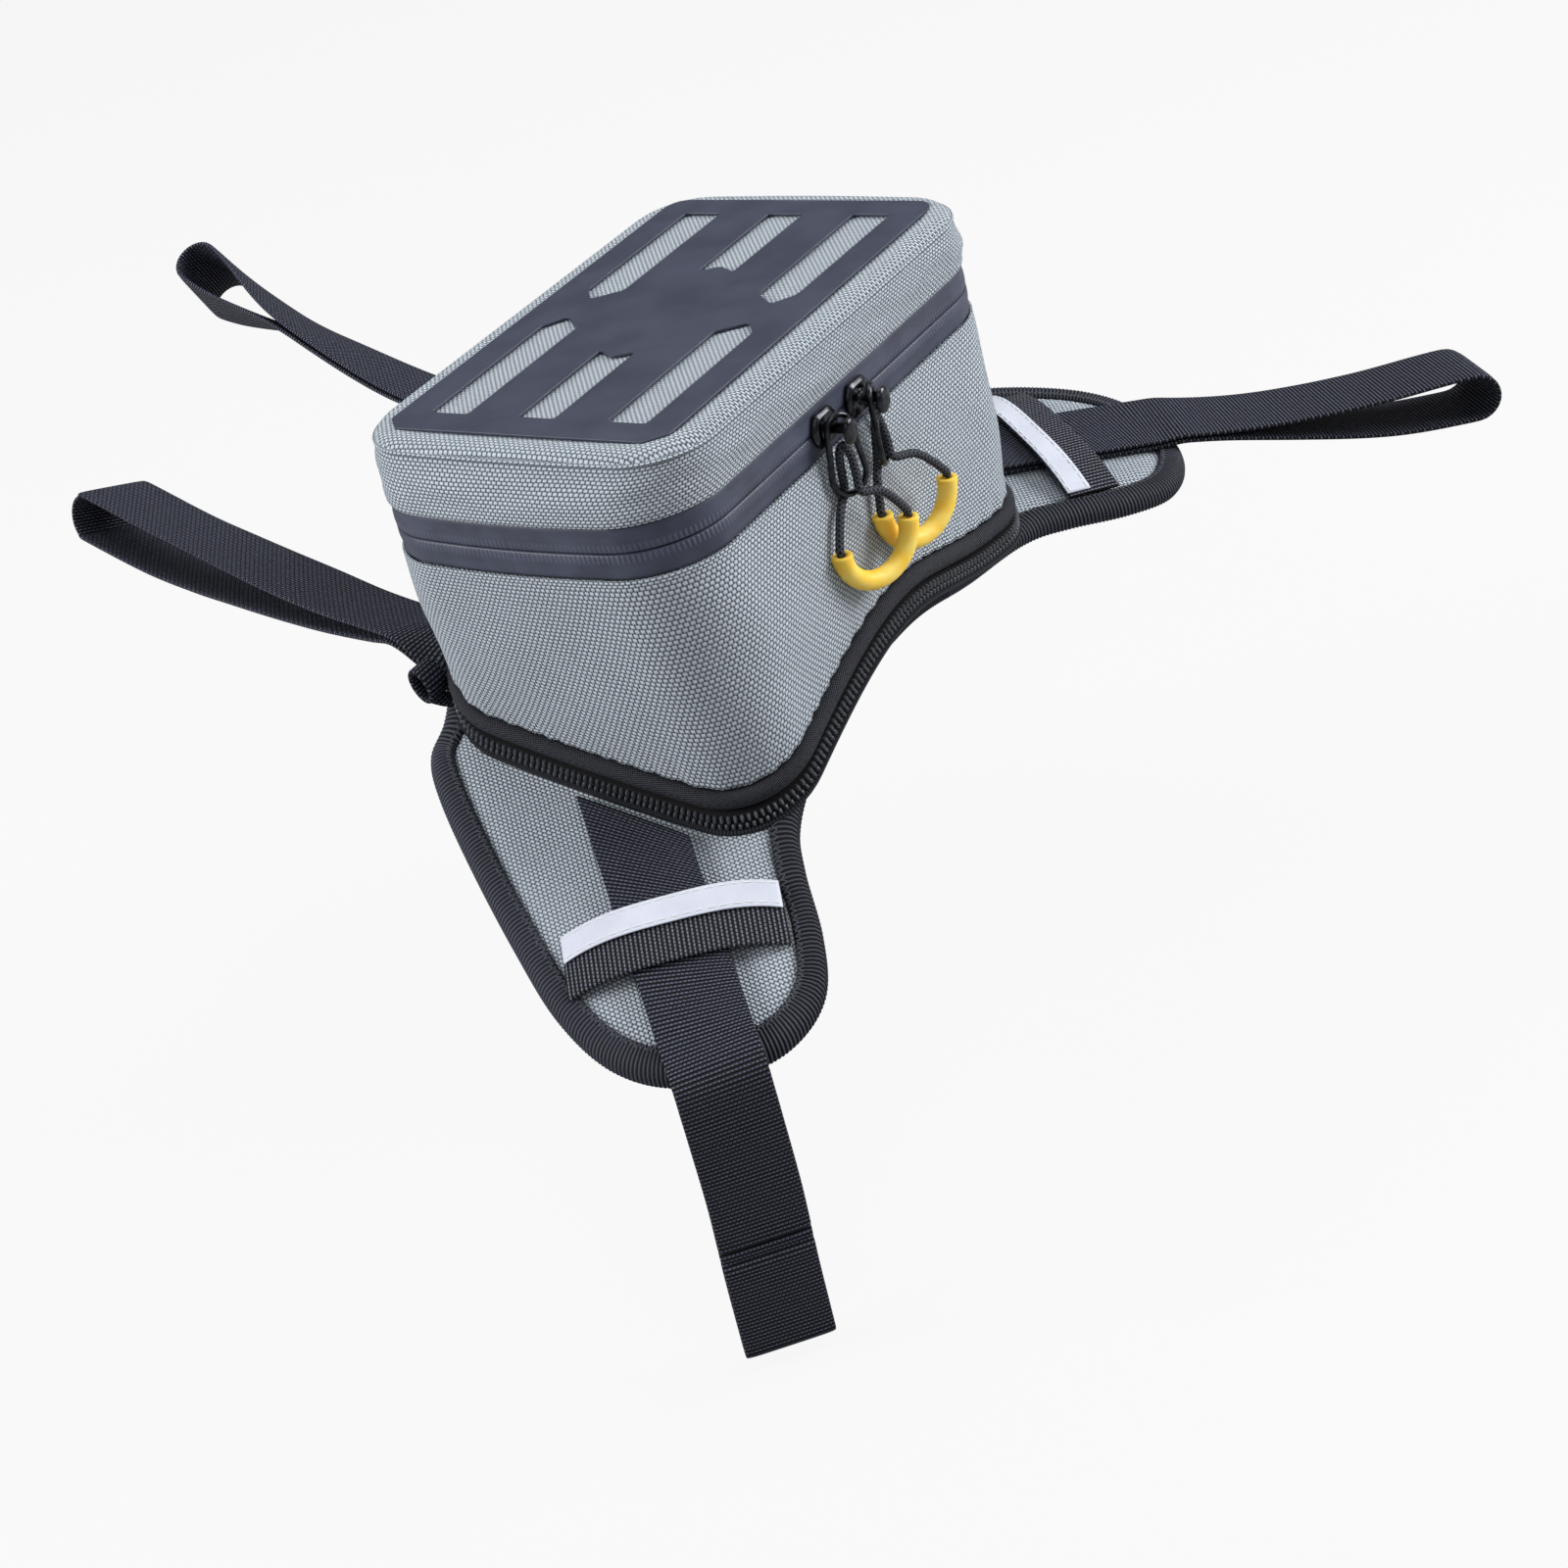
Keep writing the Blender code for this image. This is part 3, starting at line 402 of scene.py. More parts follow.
def woven(name, pitch, row, light, float_shade, gap_shade, depth):
    """Coarse woven polyester on the UV map, laid like bricks.

    Each float is a rounded bar along u, a pitch long, in rows along v. Every second row is
    shifted by half a pitch.
    The distance from a float's middle goes from 0 to 1 along it and across it; it dives where it ends.
    Light and shade are painted into the colour: a painted highlight on each float's crest, painted shade on
    its sides, and a near-black painted shade at its ends and in the gaps between floats. The noise is the
    cloth's own mottle.
    """
    material, shade = finish(name, Roughness=0.72, Sheen_Weight=0.12, Sheen_Roughness=0.4)
    place, u, v = shade.uv(1 / pitch, 1 / row)
    number = v.math("FLOOR")
    u = u + number.math("MODULO", 2.0) * 0.5
    along = ((u.math("FRACT") - 0.5) * 2.0).math("ABSOLUTE")
    across = ((v - number - 0.5) * 2.0).math("ABSOLUTE")
    tone = shade.noise(place, 0.9, 3.0)
    drawn_out = shade.node("VectorMath", {"operation": "MULTIPLY"}, {0: place, 1: (1.0, 6.0, 1.0)})
    strand = shade.noise(drawn_out, 2.0, 2.0)
    dive = along.step(0.5, 0.9)
    edge = across.step(0.4, 1.0)
    # Painted light: each float is lighter along its crest and painted darker towards its sides, its ends and
    # the gaps.
    float_colour = (0.75 * edge + 0.5 * (tone - 0.5) + 0.5 * (strand - 0.5)).mix(light, float_shade)
    colour = (dive * (0.75 + 0.25 * edge)).mix(float_colour, gap_shade)
    height = (1 - along**4.0) + (1 - across * across) + 0.25 * strand
    dress(shade, colour, 0.62 + 0.2 * tone, height, depth)
    return material


def pad_grid(inset, rows, columns):
    """Plan grid over the harness: strips from the front edge to the rider's edge, which end in points."""
    edge = harness_edge(900)
    inner = edge - plan_normals(edge) * inset
    low, high = np.argmin(inner[:, 1]), np.argmax(inner[:, 1])
    sides = [np.roll(inner, -low, axis=0)[: (high - low) % len(inner) + 1],
             np.roll(inner, -high, axis=0)[: (low - high) % len(inner) + 1][::-1]]
    y = np.sin(np.linspace(-math.pi / 2, math.pi / 2, rows))
    y = inner[low, 1] + (y + 1) / 2 * (inner[high, 1] - inner[low, 1])
    ends = np.sort([np.interp(y, side[:, 1], side[:, 0]) for side in sides], axis=0)
    share = np.linspace(0, 1, columns)
    x = ends[0][:, None] + (ends[1] - ends[0])[:, None] * share
    return x, np.broadcast_to(y[:, None], x.shape), inner


def edge_distance(x, y, outline):
    """Distance in plan from each grid point to the nearest point of an outline."""
    gaps = [np.hypot(x[..., None] - part[:, 0], y[..., None] - part[:, 1]).min(axis=-1)
            for part in np.array_split(outline, 12)]
    return np.min(gaps, axis=0)


def slab(x, y, low, high):
    """Closed layer over the plan grid, between two heights above the seat, with straight edges."""
    top = np.stack([x, y, seat(x, y) + high], axis=-1)
    bottom = np.stack([x, y, seat(x, y) + low], axis=-1)
    plan = np.stack([x, y], axis=-1)
    sides = []
    for edge in (0, -1):
        wall = np.stack([bottom[:, edge], top[:, edge]], axis=1)
        rim = run_along(top[:, edge])
        wall_uv = np.stack(np.broadcast_arrays(rim[:, None], np.array((0, 1 * MM))), axis=-1)
        sides.append(patch(wall, wall_uv))
    return [patch(top, plan), patch(bottom, plan), *sides]


fabric = woven("woven_fabric", FLOAT_PITCH, FLOAT_ROW, FLOAT_CREST_HIGHLIGHT, FLOAT_SIDE_SHADE, WEAVE_GAP_SHADE, 0.40 * MM)

pad_x, pad_y, pad_outline = pad_grid(PAD_INSET, PAD_ROWS, PAD_COLUMNS)
pad_reach = edge_distance(pad_x, pad_y, pad_outline)
cover_swell = 1 - np.exp(-((pad_reach / COVER_TUCK_REACH) ** 2))
cover_top = COVER_TUCK + (COVER_RISE - COVER_TUCK) * cover_swell
cover = build("harness_pad_cover", slab(pad_x, pad_y, cover_top - COVER_SHEET * 0.3, cover_top), [fabric])
settle(cover, "harness", "harness_cover")

foam_black, foam_shade = finish("pad_foam", Roughness=0.95)
foam_cells = foam_shade.cloud(900.0, 3.0)
foam_colour = foam_cells.step(0.3, 0.7).mix(paint(42, 43, 47), paint(74, 75, 80))
dress(foam_shade, foam_colour, 0.85 + 0.1 * foam_cells, foam_cells, 0.3 * MM)
foam = build("harness_pad_foam", slab(pad_x[::3, ::3], pad_y[::3, ::3], *FOAM_LAYER), [foam_black], sharp=40)
settle(foam, "harness", "harness_foam")

DOT_PITCH = 4.0 * MM
grip_rubber, grip_shade = finish("grip_rubber", Roughness=0.6)
_, dot_u, dot_v = grip_shade.uv(1 / DOT_PITCH, 1 / DOT_PITCH)
dot_row = dot_v.math("FLOOR")
dot_u = dot_u + dot_row.math("MODULO", 2.0) * 0.5
dot_x, dot_y = dot_u.math("FRACT") - 0.5, dot_v.math("FRACT") - 0.5
dot = 1 - (dot_x * dot_x + dot_y * dot_y).math("SQRT").step(0.2, 0.34)
dress(grip_shade, dot.mix(paint(30, 31, 35), paint(48, 49, 54)), 0.75 - 0.2 * dot, dot, 0.5 * MM)
grip_layer = slab(pad_x[::3, ::3], pad_y[::3, ::3], *GRIP_LAYER)
grip_sheet = build("harness_pad_grip_sheet", grip_layer, [grip_rubber], sharp=40)
settle(grip_sheet, "harness", "harness_grip_sheet")


# Harness binding
# Ribbed tape folded over the three layers' raw edge and sewn through with a small zigzag stitch near its
# inner edge. The ribs run across the tape.
RIB_PITCH = 1.35 * MM
RIB_HEIGHT = 0.16 * MM
RIB_SAMPLES = 4
BINDING_PROFILE = [(-8.0, -0.6), (-4.5, -0.9), (-1.4, -0.5), (-0.25, 1.1), (0.0, 2.7), (-0.3, 4.4),
                   (-1.6, 5.9), (-3.4, 6.55), (-5.4, 6.7), (-7.2, 6.55), (-8.0, 6.2), (-8.15, 5.6)]
ZIGZAG_PITCH = 1.9 * MM
ZIGZAG_OUT = -6.7 * MM
ZIGZAG_HALF = 0.8 * MM
ZIGZAG_RISE = 6.75 * MM
ZIGZAG_OVERLAP = 1.1
THREAD_HALF_HEIGHT, THREAD_HALF_WIDTH = 0.16 * MM, 0.2 * MM


def beads(centres, along, across, outwards, rows=5, sides=6, squareness=0.6):
    """Rounded bars at many places, from three half axes each: a ball squared off along its length."""
    lean = np.linspace(-math.pi / 2, math.pi / 2, rows)[:, None]
    turn = np.linspace(0, 2 * math.pi, sides, endpoint=False)[None, :]
    reach = np.abs(np.cos(lean)) ** squareness
    shape = [np.broadcast_to(np.sign(np.sin(lean)) * np.abs(np.sin(lean)) ** squareness, (rows, sides)),
             reach * np.cos(turn), reach * np.sin(turn)]
    shape[1][[0, -1]] = 0
    shape[2][[0, -1]] = 0
    axes = (along, across, outwards)
    points = centres[:, None, None] + sum(part[None, :, :, None] * axis[:, None, None]
                                          for part, axis in zip(shape, axes))
    count = len(centres)
    _, faces, uv = patch(points[0], np.zeros((rows, sides + 1, 2)), wrap_v=True)
    starts = (np.arange(count) * rows * sides)[:, None, None]
    return points.reshape(-1, 3), (faces[None] + starts).reshape(-1, 4), np.tile(uv, (count, 1))


def webbing(name, row, dash, rib_highlight, rib_shade, depth):
    """Woven webbing on the UV map: rows across the tape, each a round rib broken into dashes.

    A row carries a painted highlight along its crest, and painted shade over the webbing's own black lies
    between the crests; every second row is shifted by half a dash.
    """
    material, shade = finish(name, Specular_IOR_Level=0.25)
    place, u, v = shade.uv(1 / row, 1 / dash)
    number = u.math("FLOOR")
    v = v + number.math("MODULO", 2.0) * 0.5
    across = ((u - number - 0.5) * 2.0).math("ABSOLUTE")
    along = ((v.math("FRACT") - 0.5) * 2.0).math("ABSOLUTE")
    tone = shade.noise(place, 1.3, 3.0)
    crest = (1 - across.step(0.05, 0.6)) * (1 - along.step(0.55, 0.95))
    height = (1 - across * across) + 0.6 * (1 - along**4.0)
    # Painted light: the crest colour is a painted highlight and the colour between crests is painted shade
    # over the black.
    dress(shade, (crest * (0.2 + 1.2 * tone)).mix(rib_shade, rib_highlight), 0.75 - 0.25 * crest, height, depth)
    return material


def cross_ribs(name, rib_pitch, rib_highlight, rib_shade, depth):
    """Grosgrain on the UV map: unbroken ribs across the tape, a cosine wave along it, with a fine grain."""
    material, shade = finish(name, Specular_IOR_Level=0.25)
    place, u, _ = shade.uv(1 / rib_pitch, 1 / rib_pitch)
    rib = u.wave()
    grain = shade.noise(place, 2.3, 3.0)
    # Painted light: the rib crests take a painted highlight and the troughs painted shade over the tape's own
    # black.
    tone = rib * (0.65 + 0.7 * grain)
    dress(shade, tone.step(0.1, 1.0).mix(rib_shade, rib_highlight), 0.8 - 0.2 * rib, rib + 0.3 * grain, depth)
    return material


def edge_sweep(profile, count, ripple=0.0, pitch=1.0):
    """A profile of (out, rise) points carried round the harness edge; a ripple lifts it once every pitch."""
    edge = harness_edge(count)
    normals = plan_normals(edge)
    out, rise = (np.array(profile) * MM).T
    step = np.gradient(np.stack([out, rise], axis=1), axis=0)
    face = unit(np.stack([step[:, 1], -step[:, 0]], axis=1))
    run = np.arange(count + 1) * np.linalg.norm(edge[1] - edge[0])
    wave = ripple * np.cos(2 * math.pi * run[:-1] / pitch)
    out = out + wave[:, None] * face[:, 0]
    rise = rise + wave[:, None] * face[:, 1]
    plan = edge[:, None] + normals[:, None] * out[..., None]
    points = np.concatenate([plan, (seat(plan[..., 0], plan[..., 1]) + rise)[..., None]], axis=-1)
    around = np.concatenate([[0], np.cumsum(np.hypot(*np.diff(profile, axis=0).T)) * MM])
    around = np.append(around, around[-1] + np.hypot(*(np.array(profile[-1]) - profile[0])) * MM)
    uv = grid_uv(run, around)
    return patch(points, uv, wrap_u=True, wrap_v=True)


binding_black = cross_ribs("binding_tape", RIB_PITCH, paint(66, 69, 82), paint(3, 3, 6), 0.15 * MM)
edge_length = np.linalg.norm(np.diff(harness_edge(2000), axis=0), axis=1).sum()
rib_count = round(edge_length / RIB_PITCH)
binding_ribs = edge_sweep(BINDING_PROFILE, rib_count * RIB_SAMPLES, RIB_HEIGHT, edge_length / rib_count)
binding = build("harness_edge_binding", [binding_ribs], [binding_black])
settle(binding, "harness", "harness_binding")

thread_grey, thread_shade = finish("binding_thread", Roughness=0.6)
thread_twist = thread_shade.cloud(1500.0, 2.0)
dress(thread_shade, thread_twist.mix(paint(46, 47, 54), paint(92, 94, 104)))
zigzag_count = round(edge_length / ZIGZAG_PITCH) * 2
zigzag_plan = harness_edge(zigzag_count)
zigzag_side = plan_normals(zigzag_plan)
swing = np.where(np.arange(zigzag_count) % 2, 1, -1)[:, None]
zigzag_plan = zigzag_plan + zigzag_side * (ZIGZAG_OUT + ZIGZAG_HALF * swing)
zigzag = np.column_stack([zigzag_plan, seat(*zigzag_plan.T) + ZIGZAG_RISE])
stitch_half = (np.roll(zigzag, -1, axis=0) - zigzag) / 2 * ZIGZAG_OVERLAP
stitch_up = np.tile((0, 0, THREAD_HALF_HEIGHT), (zigzag_count, 1))
stitch_side = unit(np.cross(stitch_half, stitch_up)) * THREAD_HALF_WIDTH
zigzag_beads = beads(zigzag + stitch_half / ZIGZAG_OVERLAP, stitch_half, stitch_side, stitch_up)
binding_stitches = build("harness_binding_stitches", [zigzag_beads], [thread_grey])
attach(binding_stitches, "harness")


# Straps
# Four loops of 28 mm webbing. Each is one length that runs out, turns round an eye and comes back on top of
# itself. The rear pair lies on the wings under the keepers; the front pair is sewn into the seam between the
# binding and the zip tape.
STRAP_WIDTH = 28 * MM
STRAP_THICKNESS = 1.8 * MM
STRAP_RISE = 8.7 * MM
STRAP_HALF_GAP = 1.1 * MM
STRAP_EYE = 8.0 * MM
FOLD_HALF_GAP = 2.4 * MM
STRAP_ROW = 2.0 * MM
TAPE_SIDES = 28
WING_ORIGIN = np.array((14.6, -96)) * MM
WING_DIRECTION = np.array((0.695, -0.719))
WING_RUN = 80 * MM
WING_STRAP_START = 96.6 * MM
REAR_LEFT = [(73, -156.4, -61.8), (75.3, -158.7, -65.2), (76.3, -159.8, -71.5), (76.9, -160.4, -82),
             (77.3, -161, -106), (76.6, -161.8, -132), (76.2, -162.3, -158)]
REAR_RIGHT = [(75, 158, -20), (103, 182, -29), (131, 203, -34), (156, 222, -35)]
FRONT_LEFT = [(-66.5, -62, 8.3), (-80, -60, 10.2), (-100, -56.5, 9), (-136, -48.5, 9.9), (-205, -31, 12.3),
              (-252, -18, 17.5)]
FRONT_LEFT_TILTS = (24, -9, -15, -12.5, -17.5, -17.5)
FRONT_RIGHT = [(-66.5, 48, 14.8), (-82, 51.5, 18.6), (-130, 61, 21.5), (-180, 71, 26), (-240, 85, 41),
               (-290, 98, 53)]
FRONT_RIGHT_TILTS = (-10, -10, -12, -18, -36, -62)
ROOT_TUCK = [(-61.0, 3.0), (-64.0, 4.4)]


def wing_edges(side):
    """Edge lines of a rear strap on its wing; side is -1 on the left wing and 1 on the right one."""
    lines = []
    for offset in (-STRAP_WIDTH / 2, STRAP_WIDTH / 2):
        first = WING_ORIGIN + np.array((-WING_DIRECTION[1], WING_DIRECTION[0])) * offset
        start = (WING_STRAP_START + first[1]) / -WING_DIRECTION[1]
        plan = (first + WING_DIRECTION * np.linspace(start, WING_RUN, 13)[:, None]) * (1, -side)
        lines.append(np.column_stack([plan, seat(plan[:, 0], plan[:, 1]) + STRAP_RISE]))
    return lines


def rear_edges(side, points, samples):
    """Edge lines of a rear strap: draped on its wing, then along the free points past the wing's tip."""
    wing_a, wing_b = wing_edges(side)
    across = wing_b[-1] - wing_a[-1]
    route = open_curve(np.vstack([(wing_a[-1] + wing_b[-1]) / 2, np.array(points) * MM]), samples)
    flat = unit(across * (1, 1, 0))
    still_draped = np.linspace(1, 0, samples)[:, None] ** 3
    half = (flat * STRAP_WIDTH * (1 - still_draped) + across * still_draped) / 2
    return np.vstack([wing_a, (route - half)[1:]]), np.vstack([wing_b, (route + half)[1:]])


def front_edges(points, tilts, samples):
    """Edge lines of a front strap along a free route; a tilt lifts its right-hand edge, in degrees.

    The root is tucked into the harness seam: rows at a given x and rise above the seat come before the route.
    """
    route = open_curve(np.column_stack([np.array(points) * MM, np.radians(tilts)]), samples)
    centre, tilt = route[:, :3], route[:, 3:]
    along = unit(np.gradient(centre, axis=0))
    level_side = np.cross(along, (0, 0, 1))
    level_side[:, 0] *= np.clip(np.arange(samples) / 2, 0, 1)
    level_side = unit(level_side)
    lift = unit(np.cross(level_side, along))
    half = (np.cos(tilt) * level_side + np.sin(tilt) * lift) * STRAP_WIDTH / 2
    tuck_x, tuck_rise = (np.array(ROOT_TUCK) * MM).T
    edges = []
    for edge in (centre - half, centre + half):
        tuck_y = np.full_like(tuck_x, edge[0, 1])
        edges.append(np.vstack([np.column_stack([tuck_x, tuck_y, seat(tuck_x, tuck_y) + tuck_rise]), edge]))
    return edges


def doubled(edge_a, edge_b, straight, eye):
    """Edge lines of the whole loop: out below, round the eye, back on top.

    The layers lie together over the first share of the run, straight, and then part by a smooth step.
    """
    along = unit(np.gradient((edge_a + edge_b) / 2, axis=0))
    normal = unit(np.cross(along, edge_b - edge_a))
    if abs(normal[0, 2]) > 0.3:
        normal = normal * np.where(normal[:, 2:] < 0, -1, 1)
    share = np.clip((np.linspace(0, 1, len(edge_a)) - straight) / (1 - straight), 0, 1)
    half_gap = STRAP_HALF_GAP + (eye - STRAP_HALF_GAP) * share**2 * (3 - 2 * share)
    spread = normal * half_gap[:, None]
    turn = np.linspace(0, math.pi, 9)[1:-1, None]
    bend = eye * (np.sin(turn) * along[-1] - np.cos(turn) * normal[-1])
    return [np.vstack([edge - spread, edge[-1] + bend, (edge + spread)[::-1]]) for edge in (edge_a, edge_b)]


def tape_sweep(line_a, line_b, thickness, row):
    """Flat tape between two edge lines: a flattened oval section carried along, with capped ends.

    The section is a superellipse, |a|^5 + |b|^5 = 1, so its faces are flat and its selvedges round.
    """
    lines = np.hstack([line_a, line_b])
    length = np.linalg.norm(np.diff((line_a + line_b) / 2, axis=0), axis=1).sum()
    lines = open_curve(lines, max(4, round(length / row)))
    middle, half = (lines[:, :3] + lines[:, 3:]) / 2, (lines[:, 3:] - lines[:, :3]) / 2
    along = unit(np.gradient(middle, axis=0))
    normal = unit(np.cross(along, half)) * thickness / 2
    turn = np.linspace(0, 2 * math.pi, TAPE_SIDES, endpoint=False)
    width, depth = (np.sign(wave) * np.abs(wave) ** 0.4 for wave in (np.cos(turn), np.sin(turn)))
    points = middle[:, None] + half[:, None] * width[:, None] + normal[:, None] * depth[:, None]
    ends = [np.repeat(middle[end, None, None], TAPE_SIDES, axis=1) for end in (0, -1)]
    points = np.concatenate([ends[0], points, ends[1]])
    run = run_along(middle)
    run = np.concatenate([run[:1], run, run[-1:]])
    across = np.append(width, width[0]) * np.linalg.norm(half[0])
    return patch(points, grid_uv(run, across), wrap_v=True)


strap_black = webbing("strap_webbing", 1.3 * MM, 1.8 * MM, paint(104, 109, 132), paint(2, 2, 5), 0.25 * MM)
STRAPS = {
    "rear_left": (rear_edges(-1, REAR_LEFT, 30), 0.5, FOLD_HALF_GAP),
    "rear_right": (rear_edges(1, REAR_RIGHT, 16), 0.5, STRAP_EYE),
    "front_left": (front_edges(FRONT_LEFT, FRONT_LEFT_TILTS, 24), 0.7, STRAP_EYE),
    "front_right": (front_edges(FRONT_RIGHT, FRONT_RIGHT_TILTS, 24), 0.5, STRAP_EYE),
}
for name, (edges, straight, eye) in STRAPS.items():
    strap_tape = tape_sweep(*doubled(*edges, straight, eye), STRAP_THICKNESS, STRAP_ROW)
    strap = build(name + "_strap", [strap_tape], [strap_black])
    settle(strap, "harness", "strap_" + name)


# Keepers and reflectors
# A cross band of ribbed webbing on each wing, its ends caught under the binding, holds the rear strap down. A
# silver reflective ribbon is sewn along its inner edge with a row of white stitches at each side.
KEEPER_CENTRE = np.array((44.7, -127)) * MM
KEEPER_DIRECTION = unit(np.array((0.815, 0.58)))
KEEPER_HALF_LENGTH = 33 * MM
KEEPER_WIDTH = 18.5 * MM
KEEPER_THICKNESS = 1.5 * MM
KEEPER_RISE = 7.3 * MM
KEEPER_LIFT = 5.2 * MM
REFLECTOR_WIDTH = 8.5 * MM
REFLECTOR_RISE = 9.15 * MM
REFLECTOR_THICKNESS = 0.7 * MM
STITCH_PITCH = 3.6 * MM
STITCH_LENGTH = 2.7 * MM
STITCH_INSET = 1.1 * MM
BAND_ROW = 1.2 * MM


def keeper_line(side, offset, rise, reach_limit=KEEPER_HALF_LENGTH, count=61):
    """Line along a wing's cross band at a distance from its middle; it arches over the strap like a cubic."""
    reach = np.linspace(-reach_limit, reach_limit, count)
    lift = KEEPER_LIFT * (1 - np.abs(reach / KEEPER_HALF_LENGTH) ** 3)
    outwards = np.array((KEEPER_DIRECTION[1], -KEEPER_DIRECTION[0]))
    plan = (KEEPER_CENTRE + outwards * offset + KEEPER_DIRECTION * reach[:, None]) * (1, -side)
    return np.column_stack([plan, seat(plan[:, 0], plan[:, 1]) + lift + rise])


def stitch_row(line, side_line, pitch, length, width, height):
    """Stitches laid along a line; the side line shows which way the cloth lies beside it."""
    total = np.linalg.norm(np.diff(line, axis=0), axis=1).sum()
    count = int(total / pitch)
    centres = evenly(line, 2 * count + 1)[1::2]
    beside = evenly(side_line, 2 * count + 1)[1::2]
    along = unit(np.gradient(centres, axis=0))
    across = unit(beside - centres)
    up = unit(np.cross(along, across))
    up = up * np.where(up[:, 2:] < 0, -1, 1)
    return beads(centres, along * length / 2, across * width / 2, up * height / 2, rows=5, sides=8)


keeper_black = webbing("keeper_webbing", 1.4 * MM, 1.3 * MM, paint(128, 132, 150), paint(3, 4, 7), 0.3 * MM)
silver, silver_shade = finish("reflective_ribbon", Roughness=0.38, Specular_IOR_Level=0.6, Sheen_Weight=0.2)
silver_beads = silver_shade.cloud(4200.0, 1.0)
silver_cloud = silver_shade.cloud(90.0, 2.0)
silver_tone = (silver_beads * 0.5 + silver_cloud * 0.5).step(0.3, 0.7)
silver_colour = silver_tone.mix(paint(200, 205, 219), paint(216, 220, 234))
dress(silver_shade, silver_colour, 0.3 + 0.2 * silver_beads, silver_beads, 0.03 * MM)
thread_white, white_shade = finish("white_thread", Roughness=0.55)
white_twist = white_shade.cloud(2500.0, 2.0)
dress(white_shade, white_twist.mix(paint(214, 216, 222), paint(246, 247, 250)))

for name, side in (("left", -1), ("right", 1)):
    edges = [keeper_line(side, sign * KEEPER_WIDTH / 2, KEEPER_RISE) for sign in (-1, 1)]
    keeper = build("wing_keeper_" + name, [tape_sweep(*edges, KEEPER_THICKNESS, BAND_ROW)], [keeper_black])
    settle(keeper, "harness", "keeper_" + name)
    inner = -KEEPER_WIDTH / 2 - 0.3 * MM
    edges = [keeper_line(side, offset, REFLECTOR_RISE) for offset in (inner, inner + REFLECTOR_WIDTH)]
    reflector = build("wing_reflector_" + name, [tape_sweep(*edges, REFLECTOR_THICKNESS, BAND_ROW)], [silver])
    settle(reflector, "harness", "reflector_" + name)
    rows = []
    for offset in (inner + STITCH_INSET, inner + REFLECTOR_WIDTH - STITCH_INSET):
        lines = [keeper_line(side, place, REFLECTOR_RISE + 0.4 * MM) for place in (offset, offset + 1 * MM)]
        rows.append(stitch_row(*lines, STITCH_PITCH, STITCH_LENGTH, 0.55 * MM, 0.5 * MM))
    stitches = build("wing_reflector_stitches_" + name, rows, [thread_white])
    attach(stitches, "harness")


# Corner loops
# Small rolls of webbing at the bag's two front corners, open fore and aft. Each has a flat tail that is sewn
# into the seam between the binding and the zip tape.
LOOP_HALF_WIDTH, LOOP_HALF_HEIGHT, LOOP_HALF_LENGTH = 3.6 * MM, 6.2 * MM, 4.5 * MM
LOOP_WALL = 1.5 * MM
LOOP_X, LOOP_Y, LOOP_RISE = -63.4 * MM, 82.6 * MM, 16.2 * MM
LOOP_LEAN = math.radians(-20)
TAIL_HALF_WIDTH = 3.5 * MM
TAIL_RUN = np.array((7.0, 7.5)) * MM
TAIL_SHARES = np.array((0.0, 0.25, 0.5, 0.75, 1.0))
TAIL_RISES = np.array((10.8, 8.6, 6.9, 5.4, 4.4)) * MM


def rolled_loop(y):
    """Oval tube along Y with a wall, leaning over; the outer and inner ovals are joined by rounded rims."""
    turn = np.linspace(0, 2 * math.pi, 40, endpoint=False)
    profile = np.array([(0, -0.86), (0, 0.86), (-0.15, 0.97), (-0.5, 1.0), (-0.85, 0.97), (-1, 0.86),
                        (-1, -0.86), (-0.85, -0.97), (-0.5, -1.0), (-0.15, -0.97)])
    wall = profile[:, 0] * LOOP_WALL
    wide = (LOOP_HALF_WIDTH + wall) * np.cos(turn)[:, None]
    tall = (LOOP_HALF_HEIGHT + wall) * np.sin(turn)[:, None]
    x = LOOP_X + wide * math.cos(LOOP_LEAN) + tall * math.sin(LOOP_LEAN)
    z = seat(LOOP_X, y) + LOOP_RISE + tall * math.cos(LOOP_LEAN) - wide * math.sin(LOOP_LEAN)
    points = np.stack([x, np.broadcast_to(y + profile[:, 1] * LOOP_HALF_LENGTH, x.shape), z], axis=-1)
    around = np.linspace(0, 31 * MM, 41)
    across = np.append(profile[:, 1], profile[0, 1]) * LOOP_HALF_LENGTH
    return patch(points, grid_uv(around, across), wrap_u=True, wrap_v=True)


def loop_tail(y):
    """Flat end of a roll's webbing, from under the roll down into the seam; its rise falls by steps."""
    edges = []
    for offset in (-TAIL_HALF_WIDTH, TAIL_HALF_WIDTH):
        x = LOOP_X - LOOP_HALF_HEIGHT * math.sin(LOOP_LEAN) + TAIL_RUN[0] * TAIL_SHARES
        along_y = y + offset - math.copysign(TAIL_RUN[1], y) * TAIL_SHARES
        middle_y = along_y - offset
        edges.append(np.column_stack([x, along_y, seat(x, middle_y) + TAIL_RISES]))
    return tape_sweep(*edges, LOOP_WALL, 0.7 * MM)


for name, y in (("left", -LOOP_Y), ("right", LOOP_Y)):
    loop = build("corner_webbing_loop_" + name, [rolled_loop(y), loop_tail(y)], [strap_black])
    settle(loop, "harness", "corner_loop_" + name)


